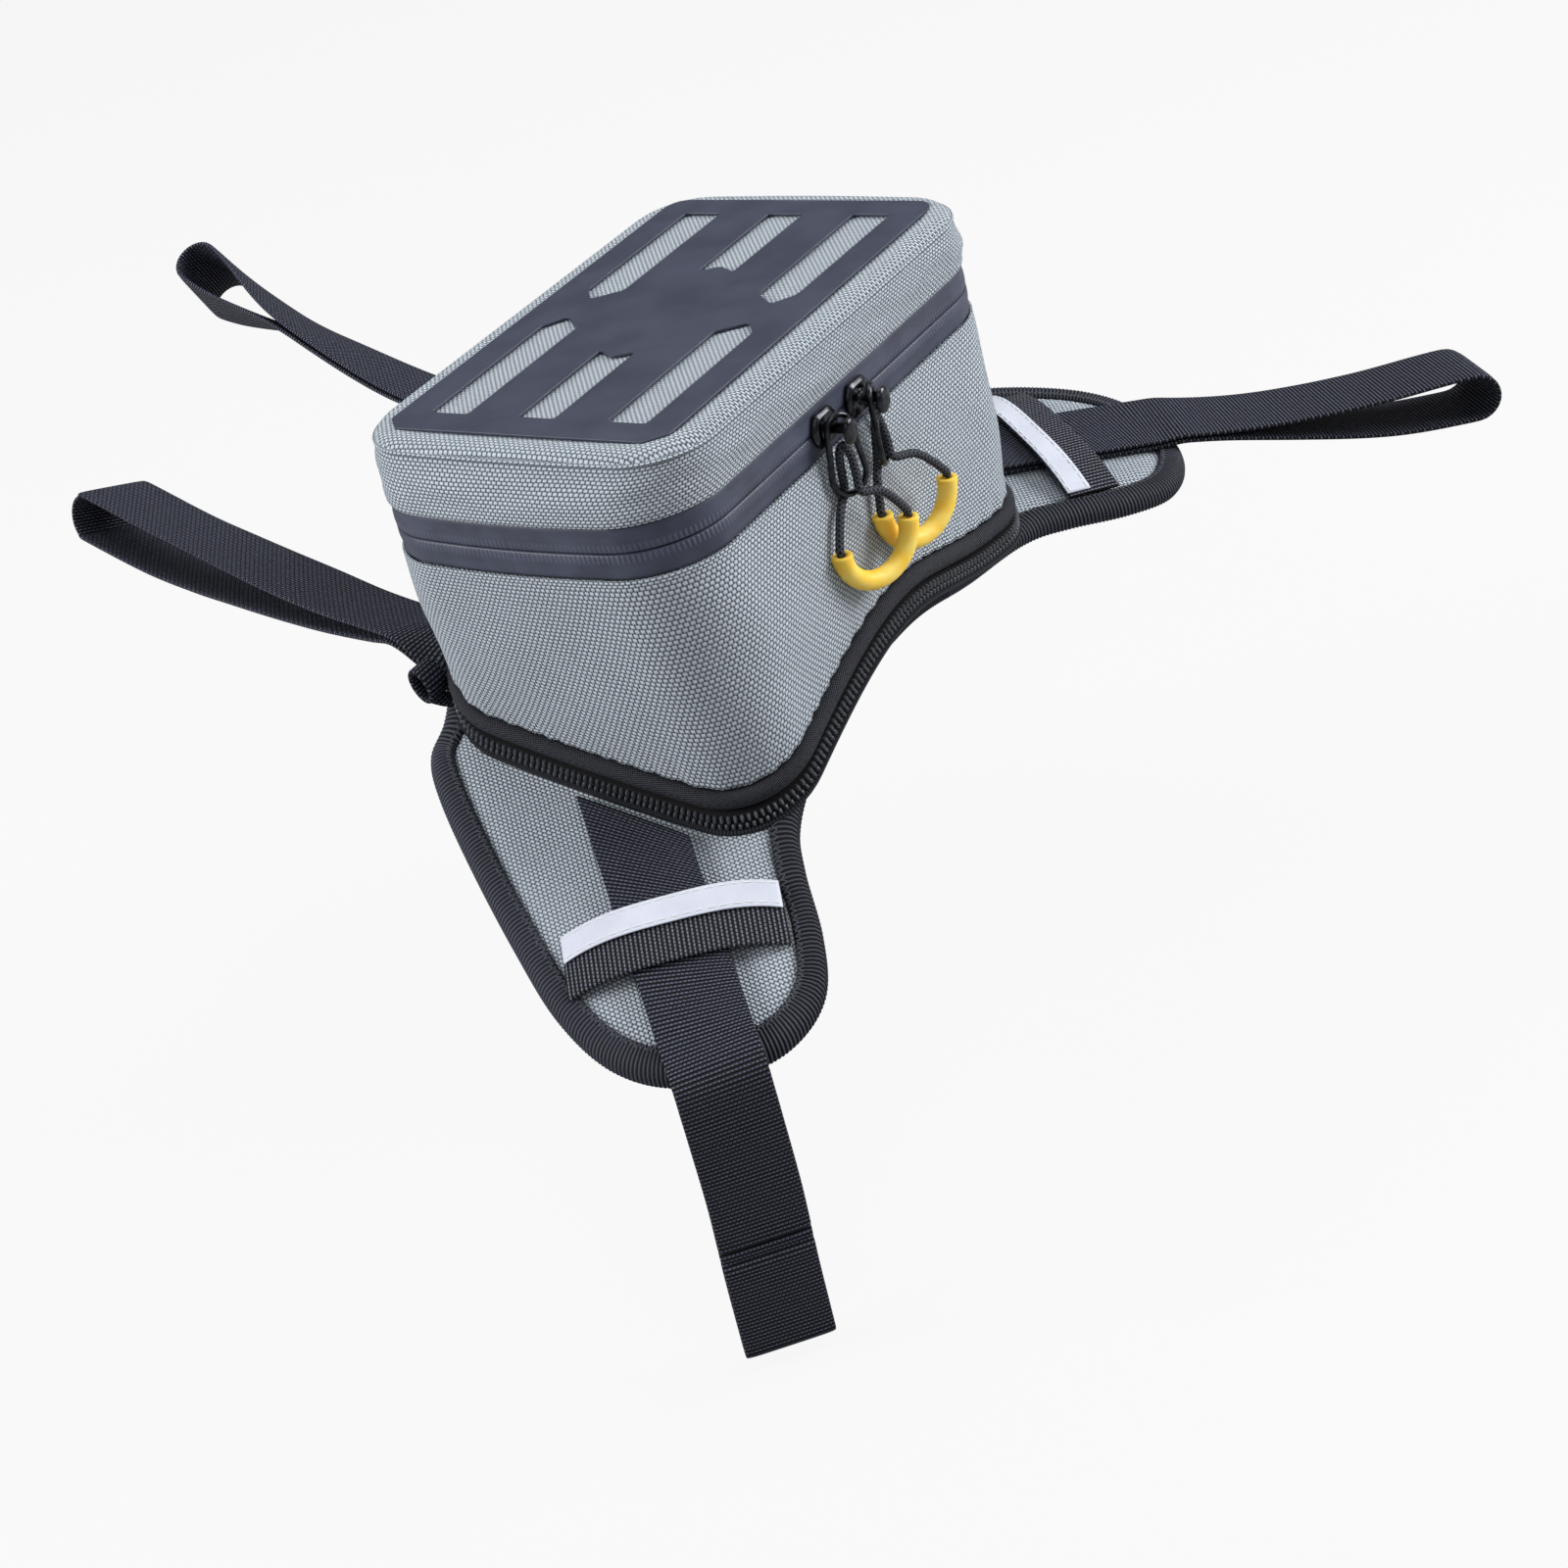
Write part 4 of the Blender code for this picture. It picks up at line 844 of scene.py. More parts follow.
# Base zip, lower half
# A tape sewn to the harness round the bag's foot carries the lower row of coil teeth; the bag carries the
# upper row. The teeth are a nylon coil, seen from outside as a row of small upright bars.
BASE = (60.5 * MM, 88.0 * MM, 24 * MM, 2 * MM)
TOOTH_PITCH = 2.1 * MM
COIL_CORE = 1.6 * MM
COIL_OUT = 2.6 * MM
COIL_IN = -3.4 * MM
LOWER_TAPE = (6.4 * MM, 7.3 * MM)
LOWER_COIL = (7.6 * MM, 9.4 * MM)
SIDE_STEPS, CORNER_STEPS, END_STEPS = 26, 14, 14


def bag_outline(size, out=0.0):
    """Plan outline of the bag, counter-clockwise from the middle of its left end.

    size is half width, half length, corner radius and bow: a rounded rectangle grown by out, its short ends
    bowed outwards like a parabola.
    """
    half_width, half_length, corner = (value + out for value in size[:3])
    turn = np.linspace(0, math.pi / 2, CORNER_STEPS, endpoint=False)
    x = np.concatenate([np.full(SIDE_STEPS, half_width), half_width - corner + corner * np.cos(turn),
                        np.linspace(half_width - corner, 0, END_STEPS)])
    y = np.concatenate([np.linspace(0, half_length - corner, SIDE_STEPS, endpoint=False),
                        half_length - corner + corner * np.sin(turn), np.full(END_STEPS, half_length)])
    quarter = np.column_stack([x, y + size[3] * (1 - (x / half_width) ** 2)])
    rider_side = np.vstack([quarter[:0:-1] * (1, -1), quarter])
    return np.vstack([rider_side, rider_side[-2:0:-1] * (-1, 1)])


def on_seat(outline, rise):
    """An outline draped at a rise above the seat."""
    return np.column_stack([outline, seat(outline[:, 0], outline[:, 1]) + rise])


def ring(loops, wrap_v=False, repeat=FLOAT_PITCH):
    """Patch through closed outlines: u round the middle one in whole repeats of the weave, v up the wall."""
    points = np.stack(loops, axis=1)
    middle = points[:, len(loops) // 2]
    around = np.cumsum(np.linalg.norm(np.roll(middle, -1, axis=0) - middle, axis=1))
    around = np.concatenate([[0], around]) * round(around[-1] / repeat) * repeat / around[-1]
    rows = np.concatenate([points, points[:, :1]], axis=1) if wrap_v else points
    up = np.concatenate([[0], np.cumsum(np.linalg.norm(np.diff(rows, axis=1), axis=2).mean(axis=0))])
    return patch(points, grid_uv(around, up), wrap_u=True, wrap_v=wrap_v)


def base_ring(sections):
    """A closed band round the bag's foot; each section point is (out, rise)."""
    return ring([on_seat(bag_outline(BASE, out), rise) for out, rise in sections], wrap_v=True)


def tooth_row(low, high, shift):
    """Coil teeth round the bag's foot, upright bars between two rises, moved along by a share of a pitch."""
    outline = bag_outline(BASE, COIL_CORE + 0.1 * MM)
    dense = np.vstack([outline, outline[:1]])
    length = np.linalg.norm(np.diff(dense, axis=0), axis=1).sum()
    count = round(length / TOOTH_PITCH)
    places = evenly(dense, 4 * count, closed=True)
    places = np.roll(places, -round(4 * shift), axis=0)[::4]
    sideways = plan_normals(places)
    centres = on_seat(places, (low + high) / 2)
    along_plan = np.column_stack([-sideways[:, 1], sideways[:, 0]])
    slope = seat(*(places + along_plan * MM).T) - seat(*(places - along_plan * MM).T)
    along = unit(np.column_stack([along_plan * 2 * MM, slope]))
    outwards = np.column_stack([sideways, np.zeros(count)])
    upright = np.cross(outwards, along)
    half_height = (high - low) / 2
    return beads(centres, upright * half_height, along * TOOTH_PITCH * 0.28,
                 outwards * (COIL_OUT - COIL_CORE), rows=6, sides=8)


tape_black = cross_ribs("zip_tape", 0.8 * MM, paint(50, 52, 60), paint(11, 12, 16), 0.08 * MM)
core_black, core_shade = finish("zip_coil_core", Specular_IOR_Level=0.3)
core_tone = core_shade.cloud(900.0, 2.0)
dress(core_shade, core_tone.mix(paint(5, 5, 7), paint(16, 17, 20)), 0.6 + 0.2 * core_tone)
tooth_black, tooth_shade = finish("zip_coil_teeth", Specular_IOR_Level=0.8)
tooth_tone = tooth_shade.cloud(700.0, 2.0)
tooth_colour = tooth_tone.mix(paint(52, 54, 60), paint(104, 107, 116))
dress(tooth_shade, tooth_colour, 0.18 + 0.2 * tooth_tone, tooth_tone, 0.05 * MM)

lower_tape = build("base_zip_tape", [base_ring([
    (2.8 * MM, LOWER_TAPE[0]), (2.8 * MM, LOWER_TAPE[1]),
    (-5.0 * MM, LOWER_TAPE[1]), (-5.0 * MM, LOWER_TAPE[0])])],
    [tape_black], sharp=40)
settle(lower_tape, "harness", "base_zip_lower_tape")


def coil(low, high, shift):
    """One coil: its core, a band round the foot, and the teeth that stand out from it."""
    inset = 0.2 * MM
    core = [(COIL_CORE, low + inset), (COIL_CORE, high - inset),
            (COIL_IN, high - inset), (COIL_IN, low + inset)]
    return [base_ring(core), tooth_row(low, high, shift)]


lower_coil = build("base_zip_teeth_lower", coil(*LOWER_COIL, 0.0), [core_black, tooth_black], sharp=50)
settle(lower_coil, "harness", "base_zip_lower_coil")


# Bag body
# A foam-backed woven shell, sewn at its foot to a corded piping that hides the zip, and turned in at its top
# edge under the zip band. The cloth bellies slightly and puckers where the piping gathers it.
LID_TOP = 94.6 * MM
BAND = (58.4 * MM, 94.0 * MM, 25 * MM, 5 * MM)
FOOT_RISE = 19.8 * MM
BODY_TOP_DEPTH = 37.0 * MM
UPRIGHT_HEM = 2.5 * MM
SHELL_WALL = 3.0 * MM
BELLY = 1.0 * MM
PUCKER_HEIGHT = 0.45 * MM
PUCKER_PITCH = 7.5 * MM
PUCKER_REACH = 0.10
SLACK = 0.35 * MM
WALL_ROWS = 56
FOOT_TURN = [(-9.5, 6.8), (-8.4, 7.4), (-7.5, 8.6), (-7.2, 11.0), (-7.0, 13.5), (-6.4, 15.8), (-5.2, 17.4),
             (-3.2, 18.5), (-1.4, 19.0)]


def at_depth(size, depth, out=0.0):
    """An outline of the bag at a depth under the lid's top."""
    outline = bag_outline(size, out)
    return np.column_stack([outline, np.full(len(outline), LID_TOP - depth)])


def slack_cloth(low, high, rows, belly, foot_puckers=0.0):
    """Wall outlines from low to high, pushed out by a parabola, low sine waves and puckers at the foot."""
    normals = plan_normals(low[:, :2])
    run = np.cumsum(np.linalg.norm(low - np.roll(low, 1, axis=0), axis=1))
    turn = 2 * math.pi * run / run[-1]
    pucker_count = round(run[-1] / PUCKER_PITCH)
    loops = []
    for share in np.linspace(0, 1, rows):
        push = belly * 4 * share * (1 - share)
        sway = np.sin(5 * turn + 4 * share) + 0.7 * np.sin(11 * turn - 7 * share + 1)
        sway = sway + 0.5 * np.sin(17 * turn + 9 * share)
        push = push + SLACK * math.sin(math.pi * share) * sway
        gather = np.sin(pucker_count * turn + 2 * np.sin(7 * turn)) * math.exp(-((share / PUCKER_REACH) ** 2))
        push = push + foot_puckers * gather
        loop = low + (high - low) * share
        loops.append(loop + np.column_stack([normals * push[:, None], np.zeros(len(loop))]))
    return loops


def cap(outline, height, shares=(1, 0.8, 0.6, 0.4, 0.2, 0)):
    """Patch that closes an outline: copies shrunk to its middle, laid on height(x, y); uv is the plan."""
    plan = outline[:, None, :2] * np.array(shares)[:, None]
    points = np.concatenate([plan, height(plan[..., 0], plan[..., 1])[..., None]], axis=-1)
    return patch(points, np.concatenate([plan, plan[:1]]), wrap_u=True)


foot = on_seat(bag_outline(BASE), FOOT_RISE)
hem = at_depth(BAND, BODY_TOP_DEPTH + UPRIGHT_HEM)
body_rows = [on_seat(bag_outline(BASE, out * MM), rise * MM) for out, rise in FOOT_TURN]
body_rows += slack_cloth(foot, hem, WALL_ROWS, BELLY, PUCKER_HEIGHT)
body_rows += [at_depth(BAND, BODY_TOP_DEPTH + 0.5 * MM), at_depth(BAND, BODY_TOP_DEPTH + 0.1 * MM, -0.2 * MM),
              at_depth(BAND, BODY_TOP_DEPTH, -0.6 * MM)]
floor_loop = bag_outline(BASE, FOOT_TURN[0][0] * MM)
body_floor = cap(floor_loop[::-1], lambda x, y: seat(x, y) + FOOT_TURN[0][1] * MM)
body = build("bag_body_shell", [ring(body_rows), body_floor], [fabric], closed=False)
thicken(body, SHELL_WALL)
settle(body, "bag", "bag_shell")


# Lining and bottom board
# A light lining of plain cloth hangs a little slack inside the shell, caught at its foot and under the zip
# band. A stiff board in a cloth cover lies on the floor and keeps it flat.
LINING_OUT = -3.6 * MM
LINING_WALL = 1.2 * MM
LINING_FOOT_RISE = 24.3 * MM
LINING_HEM_DEPTH = 39.5 * MM
LINING_TOP_DEPTHS = (37.0, 33.0, 29.6, 29.15)
BOARD_OUT = -14 * MM
BOARD_PROFILE = [(0.0, 10.4), (0.5, 10.7), (0.7, 11.3), (0.5, 11.9), (0.0, 12.2)]

lining_grey = woven("lining_cloth", 1.0 * MM, 0.6 * MM, paint(138, 143, 149), paint(106, 111, 118),
                    paint(60, 63, 69), 0.08 * MM)
lining_foot = on_seat(bag_outline(BASE, LINING_OUT), LINING_FOOT_RISE)
lining_hem = at_depth(BAND, LINING_HEM_DEPTH, LINING_OUT)
lining_rows = slack_cloth(lining_foot, lining_hem, 24, 0.3 * MM)
lining_rows += [at_depth(BAND, depth * MM, LINING_OUT) for depth in LINING_TOP_DEPTHS]
lining = build("bag_body_lining", [ring(lining_rows)], [lining_grey], closed=False)
thicken(lining, LINING_WALL)
settle(lining, "bag", "bag_liner")

board_loops = [on_seat(bag_outline(BASE, BOARD_OUT + (out - 0.7) * MM), rise * MM)
               for out, rise in BOARD_PROFILE]
board_rim = bag_outline(BASE, BOARD_OUT - 0.7 * MM)
board_faces = [cap(board_rim, lambda x, y, rise=rise: seat(x, y) + rise * MM) for rise in (10.4, 12.2)]
board = build("bag_bottom_board", [ring(board_loops), *board_faces], [lining_grey])
settle(board, "bag", "bottom_board")


# Piping and base zip, upper half
# A cord wrapped in fine black twill runs round the foot of the body; the upper coil of the base zip is sewn
# under it.
PIPING_RADIUS = 3.0 * MM
PIPING_SIDES = 20
PIPING_RISE = 15.6 * MM
PIPING_OUT = -0.5 * MM
UPPER_COIL = (9.7 * MM, 12.2 * MM)


def tube(path, radius, sides):
    """Round tube along a closed, nearly level path: circles square to the path, turned without twist."""
    along = unit(np.roll(path, -1, axis=0) - np.roll(path, 1, axis=0))
    first = unit(np.cross(along, (0.0, 0.0, 1.0)))
    second = np.cross(first, along)
    turn = np.linspace(0, 2 * math.pi, sides, endpoint=False)[:, None]
    return path[:, None] + radius * (np.cos(turn) * first[:, None] + np.sin(turn) * second[:, None])


def tube_uv(path, radius, sides, closed=False):
    """UV of a tube: u along the path, v round it, in metres."""
    run = run_along(np.vstack([path, path[:1]]) if closed else path)
    return grid_uv(run, np.linspace(0, 2 * math.pi * radius, sides + 1))


twill_black, twill_shade = finish("piping_twill", Specular_IOR_Level=0.3)
twill_place, twill_u, twill_v = twill_shade.uv(1 / (0.62 * MM), 1 / (0.62 * MM))
twill_line = (twill_u + twill_v * 0.5).wave()
twill_dash = (twill_v - twill_u * 0.25).wave()
twill_tone = twill_shade.noise(twill_place, 0.9, 3.0)
# Painted highlight: the twill is painted lighter where its line and dash crests meet and stays black between
# them.
twill_crest_highlight = twill_line * twill_dash * (0.5 + twill_tone)
twill_colour = twill_crest_highlight.step(0.1, 0.9).mix(paint(9, 10, 13), paint(84, 86, 99))
dress(twill_shade, twill_colour, 0.85 - 0.2 * twill_crest_highlight, twill_line + twill_dash, 0.07 * MM)

piping_path = on_seat(bag_outline(BASE, PIPING_OUT), PIPING_RISE)
piping_path = evenly(np.vstack([piping_path, piping_path[:1]]), 420, closed=True)
piping_uv = tube_uv(piping_path, PIPING_RADIUS, PIPING_SIDES, closed=True)
piping_tube = patch(tube(piping_path, PIPING_RADIUS, PIPING_SIDES), piping_uv, wrap_u=True, wrap_v=True)
piping = build("bag_base_piping", [piping_tube], [twill_black])
settle(piping, "bag", "base_piping")

upper_coil = build("base_zip_teeth_upper", coil(*UPPER_COIL, 0.5), [core_black, tooth_black], sharp=50)
settle(upper_coil, "bag", "base_zip_upper_coil")


# Zip band
# A water-resistant zip: two strips of coated tape whose lips meet in the middle, one on the body and one on
# the lid. The coil under the tape shows through as fine upright ripples beside the lips.
BAND_SPLIT = 28.65
RIPPLE_PITCH = 1.6 * MM
BAND_HALF_PROFILE = [(0.12, -2.7), (0.12, -1.5), (0.3, -0.85), (0.8, -0.6), (2.2, -0.52), (3.6, -0.58),
                     (4.6, -0.78), (6.2, -0.85), (7.6, -0.85), (7.9, -1.0), (8.0, -1.4), (8.0, -2.7)]
SLATE = paint(70, 75, 94)
SLATE_DARK = paint(48, 52, 68)
# Painted highlight colour for the crests of the ripples over the coil.
SLATE_RIPPLE_HIGHLIGHT = paint(118, 124, 146)


def coated_tape(name, ripple_depth):
    """Satin polyurethane film: a soft cloudy slate, a fine leathery grain, and ripples over the coil."""
    material, shade = finish(name, Roughness=0.42, Specular_IOR_Level=0.45)
    place, u, v = shade.uv(1 / RIPPLE_PITCH, 1 / RIPPLE_PITCH)
    lip_distance = v.math("ABSOLUTE")
    over_coil = lip_distance.step(0.4, 0.8) * (1 - lip_distance.step(1.8, 2.4))
    strength = shade.noise(place, 0.045, 1.0).step(0.35, 0.65)
    ripple = ((u + 0.08 * v) * 2 * math.pi).math("COSINE") * over_coil * (0.3 + 0.7 * strength)
    grain = shade.noise(place, 4.0, 3.0)
    cloud = shade.noise(place, 0.12, 2.0)
    colour = (0.6 * cloud + 0.4 * grain).step(0.3, 0.7).mix(SLATE_DARK, SLATE)
    # Painted highlight: the ripple crests over the coil are painted lighter.
    colour = (0.10 * over_coil * (ripple + 1)).mix(colour, SLATE_RIPPLE_HIGHLIGHT)
    dress(shade, colour, 0.36 + 0.16 * grain, ripple + 0.12 * grain, ripple_depth)
    return material


def band_ring(sign):
    """One half of the band: its profile of (distance from the split, out) carried round; v from the lips."""
    profile = BAND_HALF_PROFILE if sign < 0 else BAND_HALF_PROFILE[::-1]
    loops = [at_depth(BAND, (BAND_SPLIT + sign * away) * MM, out * MM) for away, out in profile]
    points, faces, uv = ring(loops, wrap_v=True)
    lip_end = 1.2 * MM if sign < 0 else 10.1 * MM
    return points, faces, uv - (0, lip_end)


film = coated_tape("coated_zip_tape", 0.10 * MM)
BAND_HALVES = (("lower", 1, "bag", "zip_band_lower"), ("upper", -1, "lid", "zip_band_upper"))
for name, sign, rider, node in BAND_HALVES:
    half_band = build("main_zip_tape_" + name, [band_ring(sign)], [film], sharp=50)
    settle(half_band, rider, node)


# Lid
# The same foam-backed cloth: an upright wall and a top panel joined by a raised seam, with a soft roll of
# padding between the seam and the moulded panel.
SEAM = (59.3 * MM, 89.0 * MM, 21 * MM, 2 * MM)
LID_EDGE_DEPTH = 20.3 * MM
SEAM_DEPTH = 4.9 * MM
LID_BELLY = 0.9 * MM
SEAM_PROFILE = [(-0.15, 4.75), (0.15, 4.5), (0.5, 4.2), (0.5, 3.85), (0.15, 3.6), (-0.45, 3.45)]
PADDED_ROLL = [(-0.45, 3.45), (-0.75, 3.1), (-1.4, 2.3), (-2.4, 1.55), (-3.6, 1.0), (-5.0, 0.7), (-6.4, 0.65),
               (-7.6, 0.85), (-8.5, 1.15), (-9.4, 1.35)]

lid_edge = at_depth(BAND, LID_EDGE_DEPTH - 1.4 * MM)
lid_rows = [at_depth(BAND, LID_EDGE_DEPTH, -0.6 * MM), at_depth(BAND, LID_EDGE_DEPTH - 0.1 * MM, -0.2 * MM),
            at_depth(BAND, LID_EDGE_DEPTH - 0.5 * MM)]
lid_rows += slack_cloth(lid_edge, at_depth(SEAM, SEAM_DEPTH, -0.2 * MM), 26, LID_BELLY)
lid_rows += [at_depth(SEAM, depth * MM, out * MM) for out, depth in SEAM_PROFILE]
roll_rows = [at_depth(SEAM, depth * MM, out * MM) for out, depth in PADDED_ROLL]
roll_points = np.stack(roll_rows, axis=1)
roll = patch(roll_points, np.concatenate([roll_points, roll_points[:1]])[..., :2], wrap_u=True)
roof_depth = PADDED_ROLL[-1][1] * MM
lid_roof = cap(bag_outline(SEAM, PADDED_ROLL[-1][0] * MM), lambda x, y: np.full_like(x, LID_TOP - roof_depth))
lid = build("lid_woven_shell", [ring(lid_rows), roll, lid_roof], [fabric], closed=False)
thicken(lid, SHELL_WALL)
settle(lid, "lid", "lid_shell")

lid_lining_rows = [at_depth(BAND, depth * MM, LINING_OUT) for depth in (28.15, 27.5, 24.0, 20.6)]
lid_lining_rows += slack_cloth(at_depth(BAND, 20.2 * MM, LINING_OUT),
                               at_depth(SEAM, 8.6 * MM, -4.0 * MM), 12, 0.0)
LID_LINING_TURN = ((-4.8, 7.0), (-6.6, 5.9), (-9.0, 5.5))
lid_lining_rows += [at_depth(SEAM, depth * MM, out * MM) for out, depth in LID_LINING_TURN]
lining_roof = cap(bag_outline(SEAM, -9.0 * MM), lambda x, y: np.full_like(x, LID_TOP - 5.5 * MM))
lid_lining = build("lid_lining_cloth", [ring(lid_lining_rows), lining_roof], [lining_grey], closed=False)
thicken(lid_lining, LINING_WALL)
settle(lid_lining, "lid", "lid_liner")


# Lid panel
# A moulded sheet of satin slate film welded onto the lid, with six windows that show the cloth, rounded
# edges, clipped front corners and round back corners. Its middle is bare.
PANEL_HALF_WIDTH, PANEL_HALF_LENGTH = 50.3, 82.0
PANEL_CLIP = 5.5
PANEL_BACK_RADIUS = 8.0
PANEL_HALF_THICKNESS = 0.5
PANEL_BEVEL = 0.35
WINDOW_END = 71.3
SIDE_WINDOW = (25.3, 39.0)
SIDE_WINDOW_SHOULDER, SIDE_WINDOW_POINT = 13.0, 6.5
MIDDLE_WINDOW, MIDDLE_WINDOW_SHOULDER, MIDDLE_WINDOW_NOTCH = 6.6, 28.0, 31.5
WINDOW_CORNER = 1.2


def rounded(points, radius):
    """Polygon with each corner cut by a quadratic curve that starts a radius away from it."""
    points = np.asarray(points, dtype=float)
    before, after = np.roll(points, 1, axis=0), np.roll(points, -1, axis=0)
    start = points + unit(before - points) * radius
    end = points + unit(after - points) * radius
    t = np.linspace(0, 1, 6)[None, :, None]
    curve = (1 - t) ** 2 * start[:, None] + 2 * t * (1 - t) * points[:, None] + t**2 * end[:, None]
    return curve.reshape(-1, 2)


def panel_outlines():
    """The panel's edge and its six windows, in millimetres."""
    w, l, clip = PANEL_HALF_WIDTH, PANEL_HALF_LENGTH, PANEL_CLIP
    front = rounded([(-w, 0), (-w, clip - l), (clip - w, -l), (w - clip, -l), (w, clip - l), (w, 0)], 0.8)
    back = rounded([(w, 0), (w, l), (-w, l), (-w, 0)], PANEL_BACK_RADIUS)
    edge = np.vstack([front[6:30], back[6:18]])
    near, far = SIDE_WINDOW
    point = ((near + far) / 2 + 1.5, SIDE_WINDOW_POINT)
    side = [(near, WINDOW_END), (far, WINDOW_END), (far, SIDE_WINDOW_SHOULDER), point,
            (near, SIDE_WINDOW_SHOULDER)]
    middle = [(-MIDDLE_WINDOW, WINDOW_END), (MIDDLE_WINDOW, WINDOW_END),
              (MIDDLE_WINDOW, MIDDLE_WINDOW_SHOULDER), (0, MIDDLE_WINDOW_NOTCH),
              (-MIDDLE_WINDOW, MIDDLE_WINDOW_SHOULDER)]
    shapes = ((side, 1), (side, -1), (middle, 1))
    windows = [np.array(shape) * (mirror, end) for end in (1, -1) for shape, mirror in shapes]
    return [edge] + [rounded(window, WINDOW_CORNER) for window in windows]


def filled_sheet(name, outlines, half_thickness, bevel, place, material, sharp):
    """Flat sheet with holes and rounded edges: a filled flat curve, made a mesh and put in place."""
    curve = bpy.data.curves.new(name, "CURVE")
    curve.dimensions = "2D"
    curve.fill_mode = "BOTH"
    curve.extrude = (half_thickness - bevel) * MM
    curve.bevel_depth = bevel * MM
    curve.bevel_resolution = 3
    curve.offset = -bevel * MM
    for outline in outlines:
        spline = curve.splines.new("POLY")
        spline.points.add(len(outline) - 1)
        corners = np.column_stack([outline * MM, np.zeros(len(outline)), np.ones(len(outline))])
        spline.points.foreach_set("co", corners.ravel())
        spline.use_cyclic_u = True
    holder = bpy.data.objects.new(name, curve)
    scene.collection.objects.link(holder)
    mesh = bpy.data.meshes.new_from_object(holder.evaluated_get(bpy.context.evaluated_depsgraph_get()))
    bpy.data.objects.remove(holder, do_unlink=True)
    work = bmesh.new()
    work.from_mesh(mesh)
    bmesh.ops.remove_doubles(work, verts=work.verts, dist=0.002 * MM)
    bmesh.ops.recalc_face_normals(work, faces=work.faces)
    work.to_mesh(mesh)
    work.free()
    mesh.transform(place)
    mesh.materials.clear()
    mesh.materials.append(material)
    mesh.shade_smooth()
    mesh.set_sharp_from_angle(angle=math.radians(sharp))
    made = bpy.data.objects.new(name, mesh)
    scene.collection.objects.link(made)
    return made


panel_film, panel_shade = finish("panel_film", Roughness=0.42, Specular_IOR_Level=0.45)
panel_grain = panel_shade.cloud(2600.0, 2.0)
panel_cloud = panel_shade.cloud(55.0, 3.0)
panel_tone = (0.7 * panel_cloud + 0.3 * panel_grain).step(0.3, 0.7)
panel_colour = panel_tone.mix(paint(44, 49, 66), paint(58, 64, 82))
dress(panel_shade, panel_colour, 0.34 + 0.22 * panel_grain, panel_grain + 2.0 * panel_cloud, 0.06 * MM)
panel_place = Matrix.Translation((0, 0, LID_TOP - PANEL_HALF_THICKNESS * MM))
panel = filled_sheet("lid_moulded_panel", panel_outlines(), PANEL_HALF_THICKNESS, PANEL_BEVEL, panel_place,
                     panel_film, sharp=30)
settle(panel, "lid", "lid_panel")


# Hinge strip
# A strip of coated tape across the front side, sewn to the lid above and to the body below, on which the lid
# folds back when the zip is open.
HINGE_X = -58.4 * MM
HINGE_HALF_LENGTH = 55 * MM
HINGE_HALF_HEIGHT = 7.55 * MM
HINGE_Z = LID_TOP - BAND_SPLIT * MM
HINGE_HALF_THICKNESS = 0.5 * MM
HINGE_STITCH_HEIGHTS = (-5.8, -4.0, 4.0, 5.8)
HINGE_STITCH_REACH = 53 * MM

hinge_y = np.linspace(-HINGE_HALF_LENGTH, HINGE_HALF_LENGTH, 60)[:, None]
hinge_z = np.linspace(-HINGE_HALF_HEIGHT, HINGE_HALF_HEIGHT, 24)
hinge_up = np.concatenate([hinge_z, hinge_z[::-1]])
hinge_bulge = np.cos(hinge_z / HINGE_HALF_HEIGHT * math.pi / 2) ** 0.3
hinge_x = HINGE_X + HINGE_HALF_THICKNESS * np.concatenate([-hinge_bulge, hinge_bulge[::-1]])
hinge_points = np.stack(np.broadcast_arrays(hinge_x, hinge_y, HINGE_Z + hinge_up), axis=-1)
hinge_ends = [hinge_points[end].mean(axis=0) + np.zeros_like(hinge_points[:1]) for end in (0, -1)]
hinge_points = np.concatenate([hinge_ends[0], hinge_points, hinge_ends[1]])
hinge_run = np.concatenate([hinge_y[:1, 0], hinge_y[:, 0], hinge_y[-1:, 0]])
hinge_uv = grid_uv(hinge_run, np.append(hinge_up, hinge_up[0]))
hinge_rows = []
for height in HINGE_STITCH_HEIGHTS:
    line = np.zeros((80, 3)) + (HINGE_X - HINGE_HALF_THICKNESS, 0, HINGE_Z + height * MM)
    line[:, 1] = np.linspace(-HINGE_STITCH_REACH, HINGE_STITCH_REACH, 80)
    hinge_rows.append(stitch_row(line, line + (0, 0, MM), 3.2 * MM, 2.4 * MM, 0.45 * MM, 0.4 * MM))
hinge_tape = patch(hinge_points, hinge_uv, wrap_v=True)
hinge_strip = build("lid_fold_strip", [hinge_tape, *hinge_rows], [tape_black, thread_grey])
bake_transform(hinge_strip)
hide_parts("lid_hinge_strip")


# Main zip sliders
# Two die-cast sliders, blackened, meet on the rider's side. Each is a shield-shaped plate with a chamfered
# face and a hooked bridge; the wire bail hangs on the bridge.
SLIDER_PLACES = {"left": -16 * MM, "right": 4 * MM}
SLIDER_FACE_X = 58.0 * MM
SLIDER_Z = LID_TOP - BAND_SPLIT * MM
SHIELD_WIDTHS = ((0, 6.9), (90, 5.7), (38, 6.6), (-38, 6.6))
SHIELD_ROWS = [(0.98, 0.0), (1.0, 0.2), (1.0, 1.1), (0.97, 1.35), (0.80, 2.1), (0.75, 2.2)]
HEAD_WIDTHS = ((0, 3.4), (90, 4.5), (45, 4.0), (-45, 4.0))
HEAD_DROP = -0.7
HEAD_ROWS = [(0.82, 8.95), (0.95, 9.05), (1.0, 9.3), (0.99, 9.65), (0.93, 10.0), (0.8, 10.35), (0.6, 10.6),
             (0.3, 10.7)]
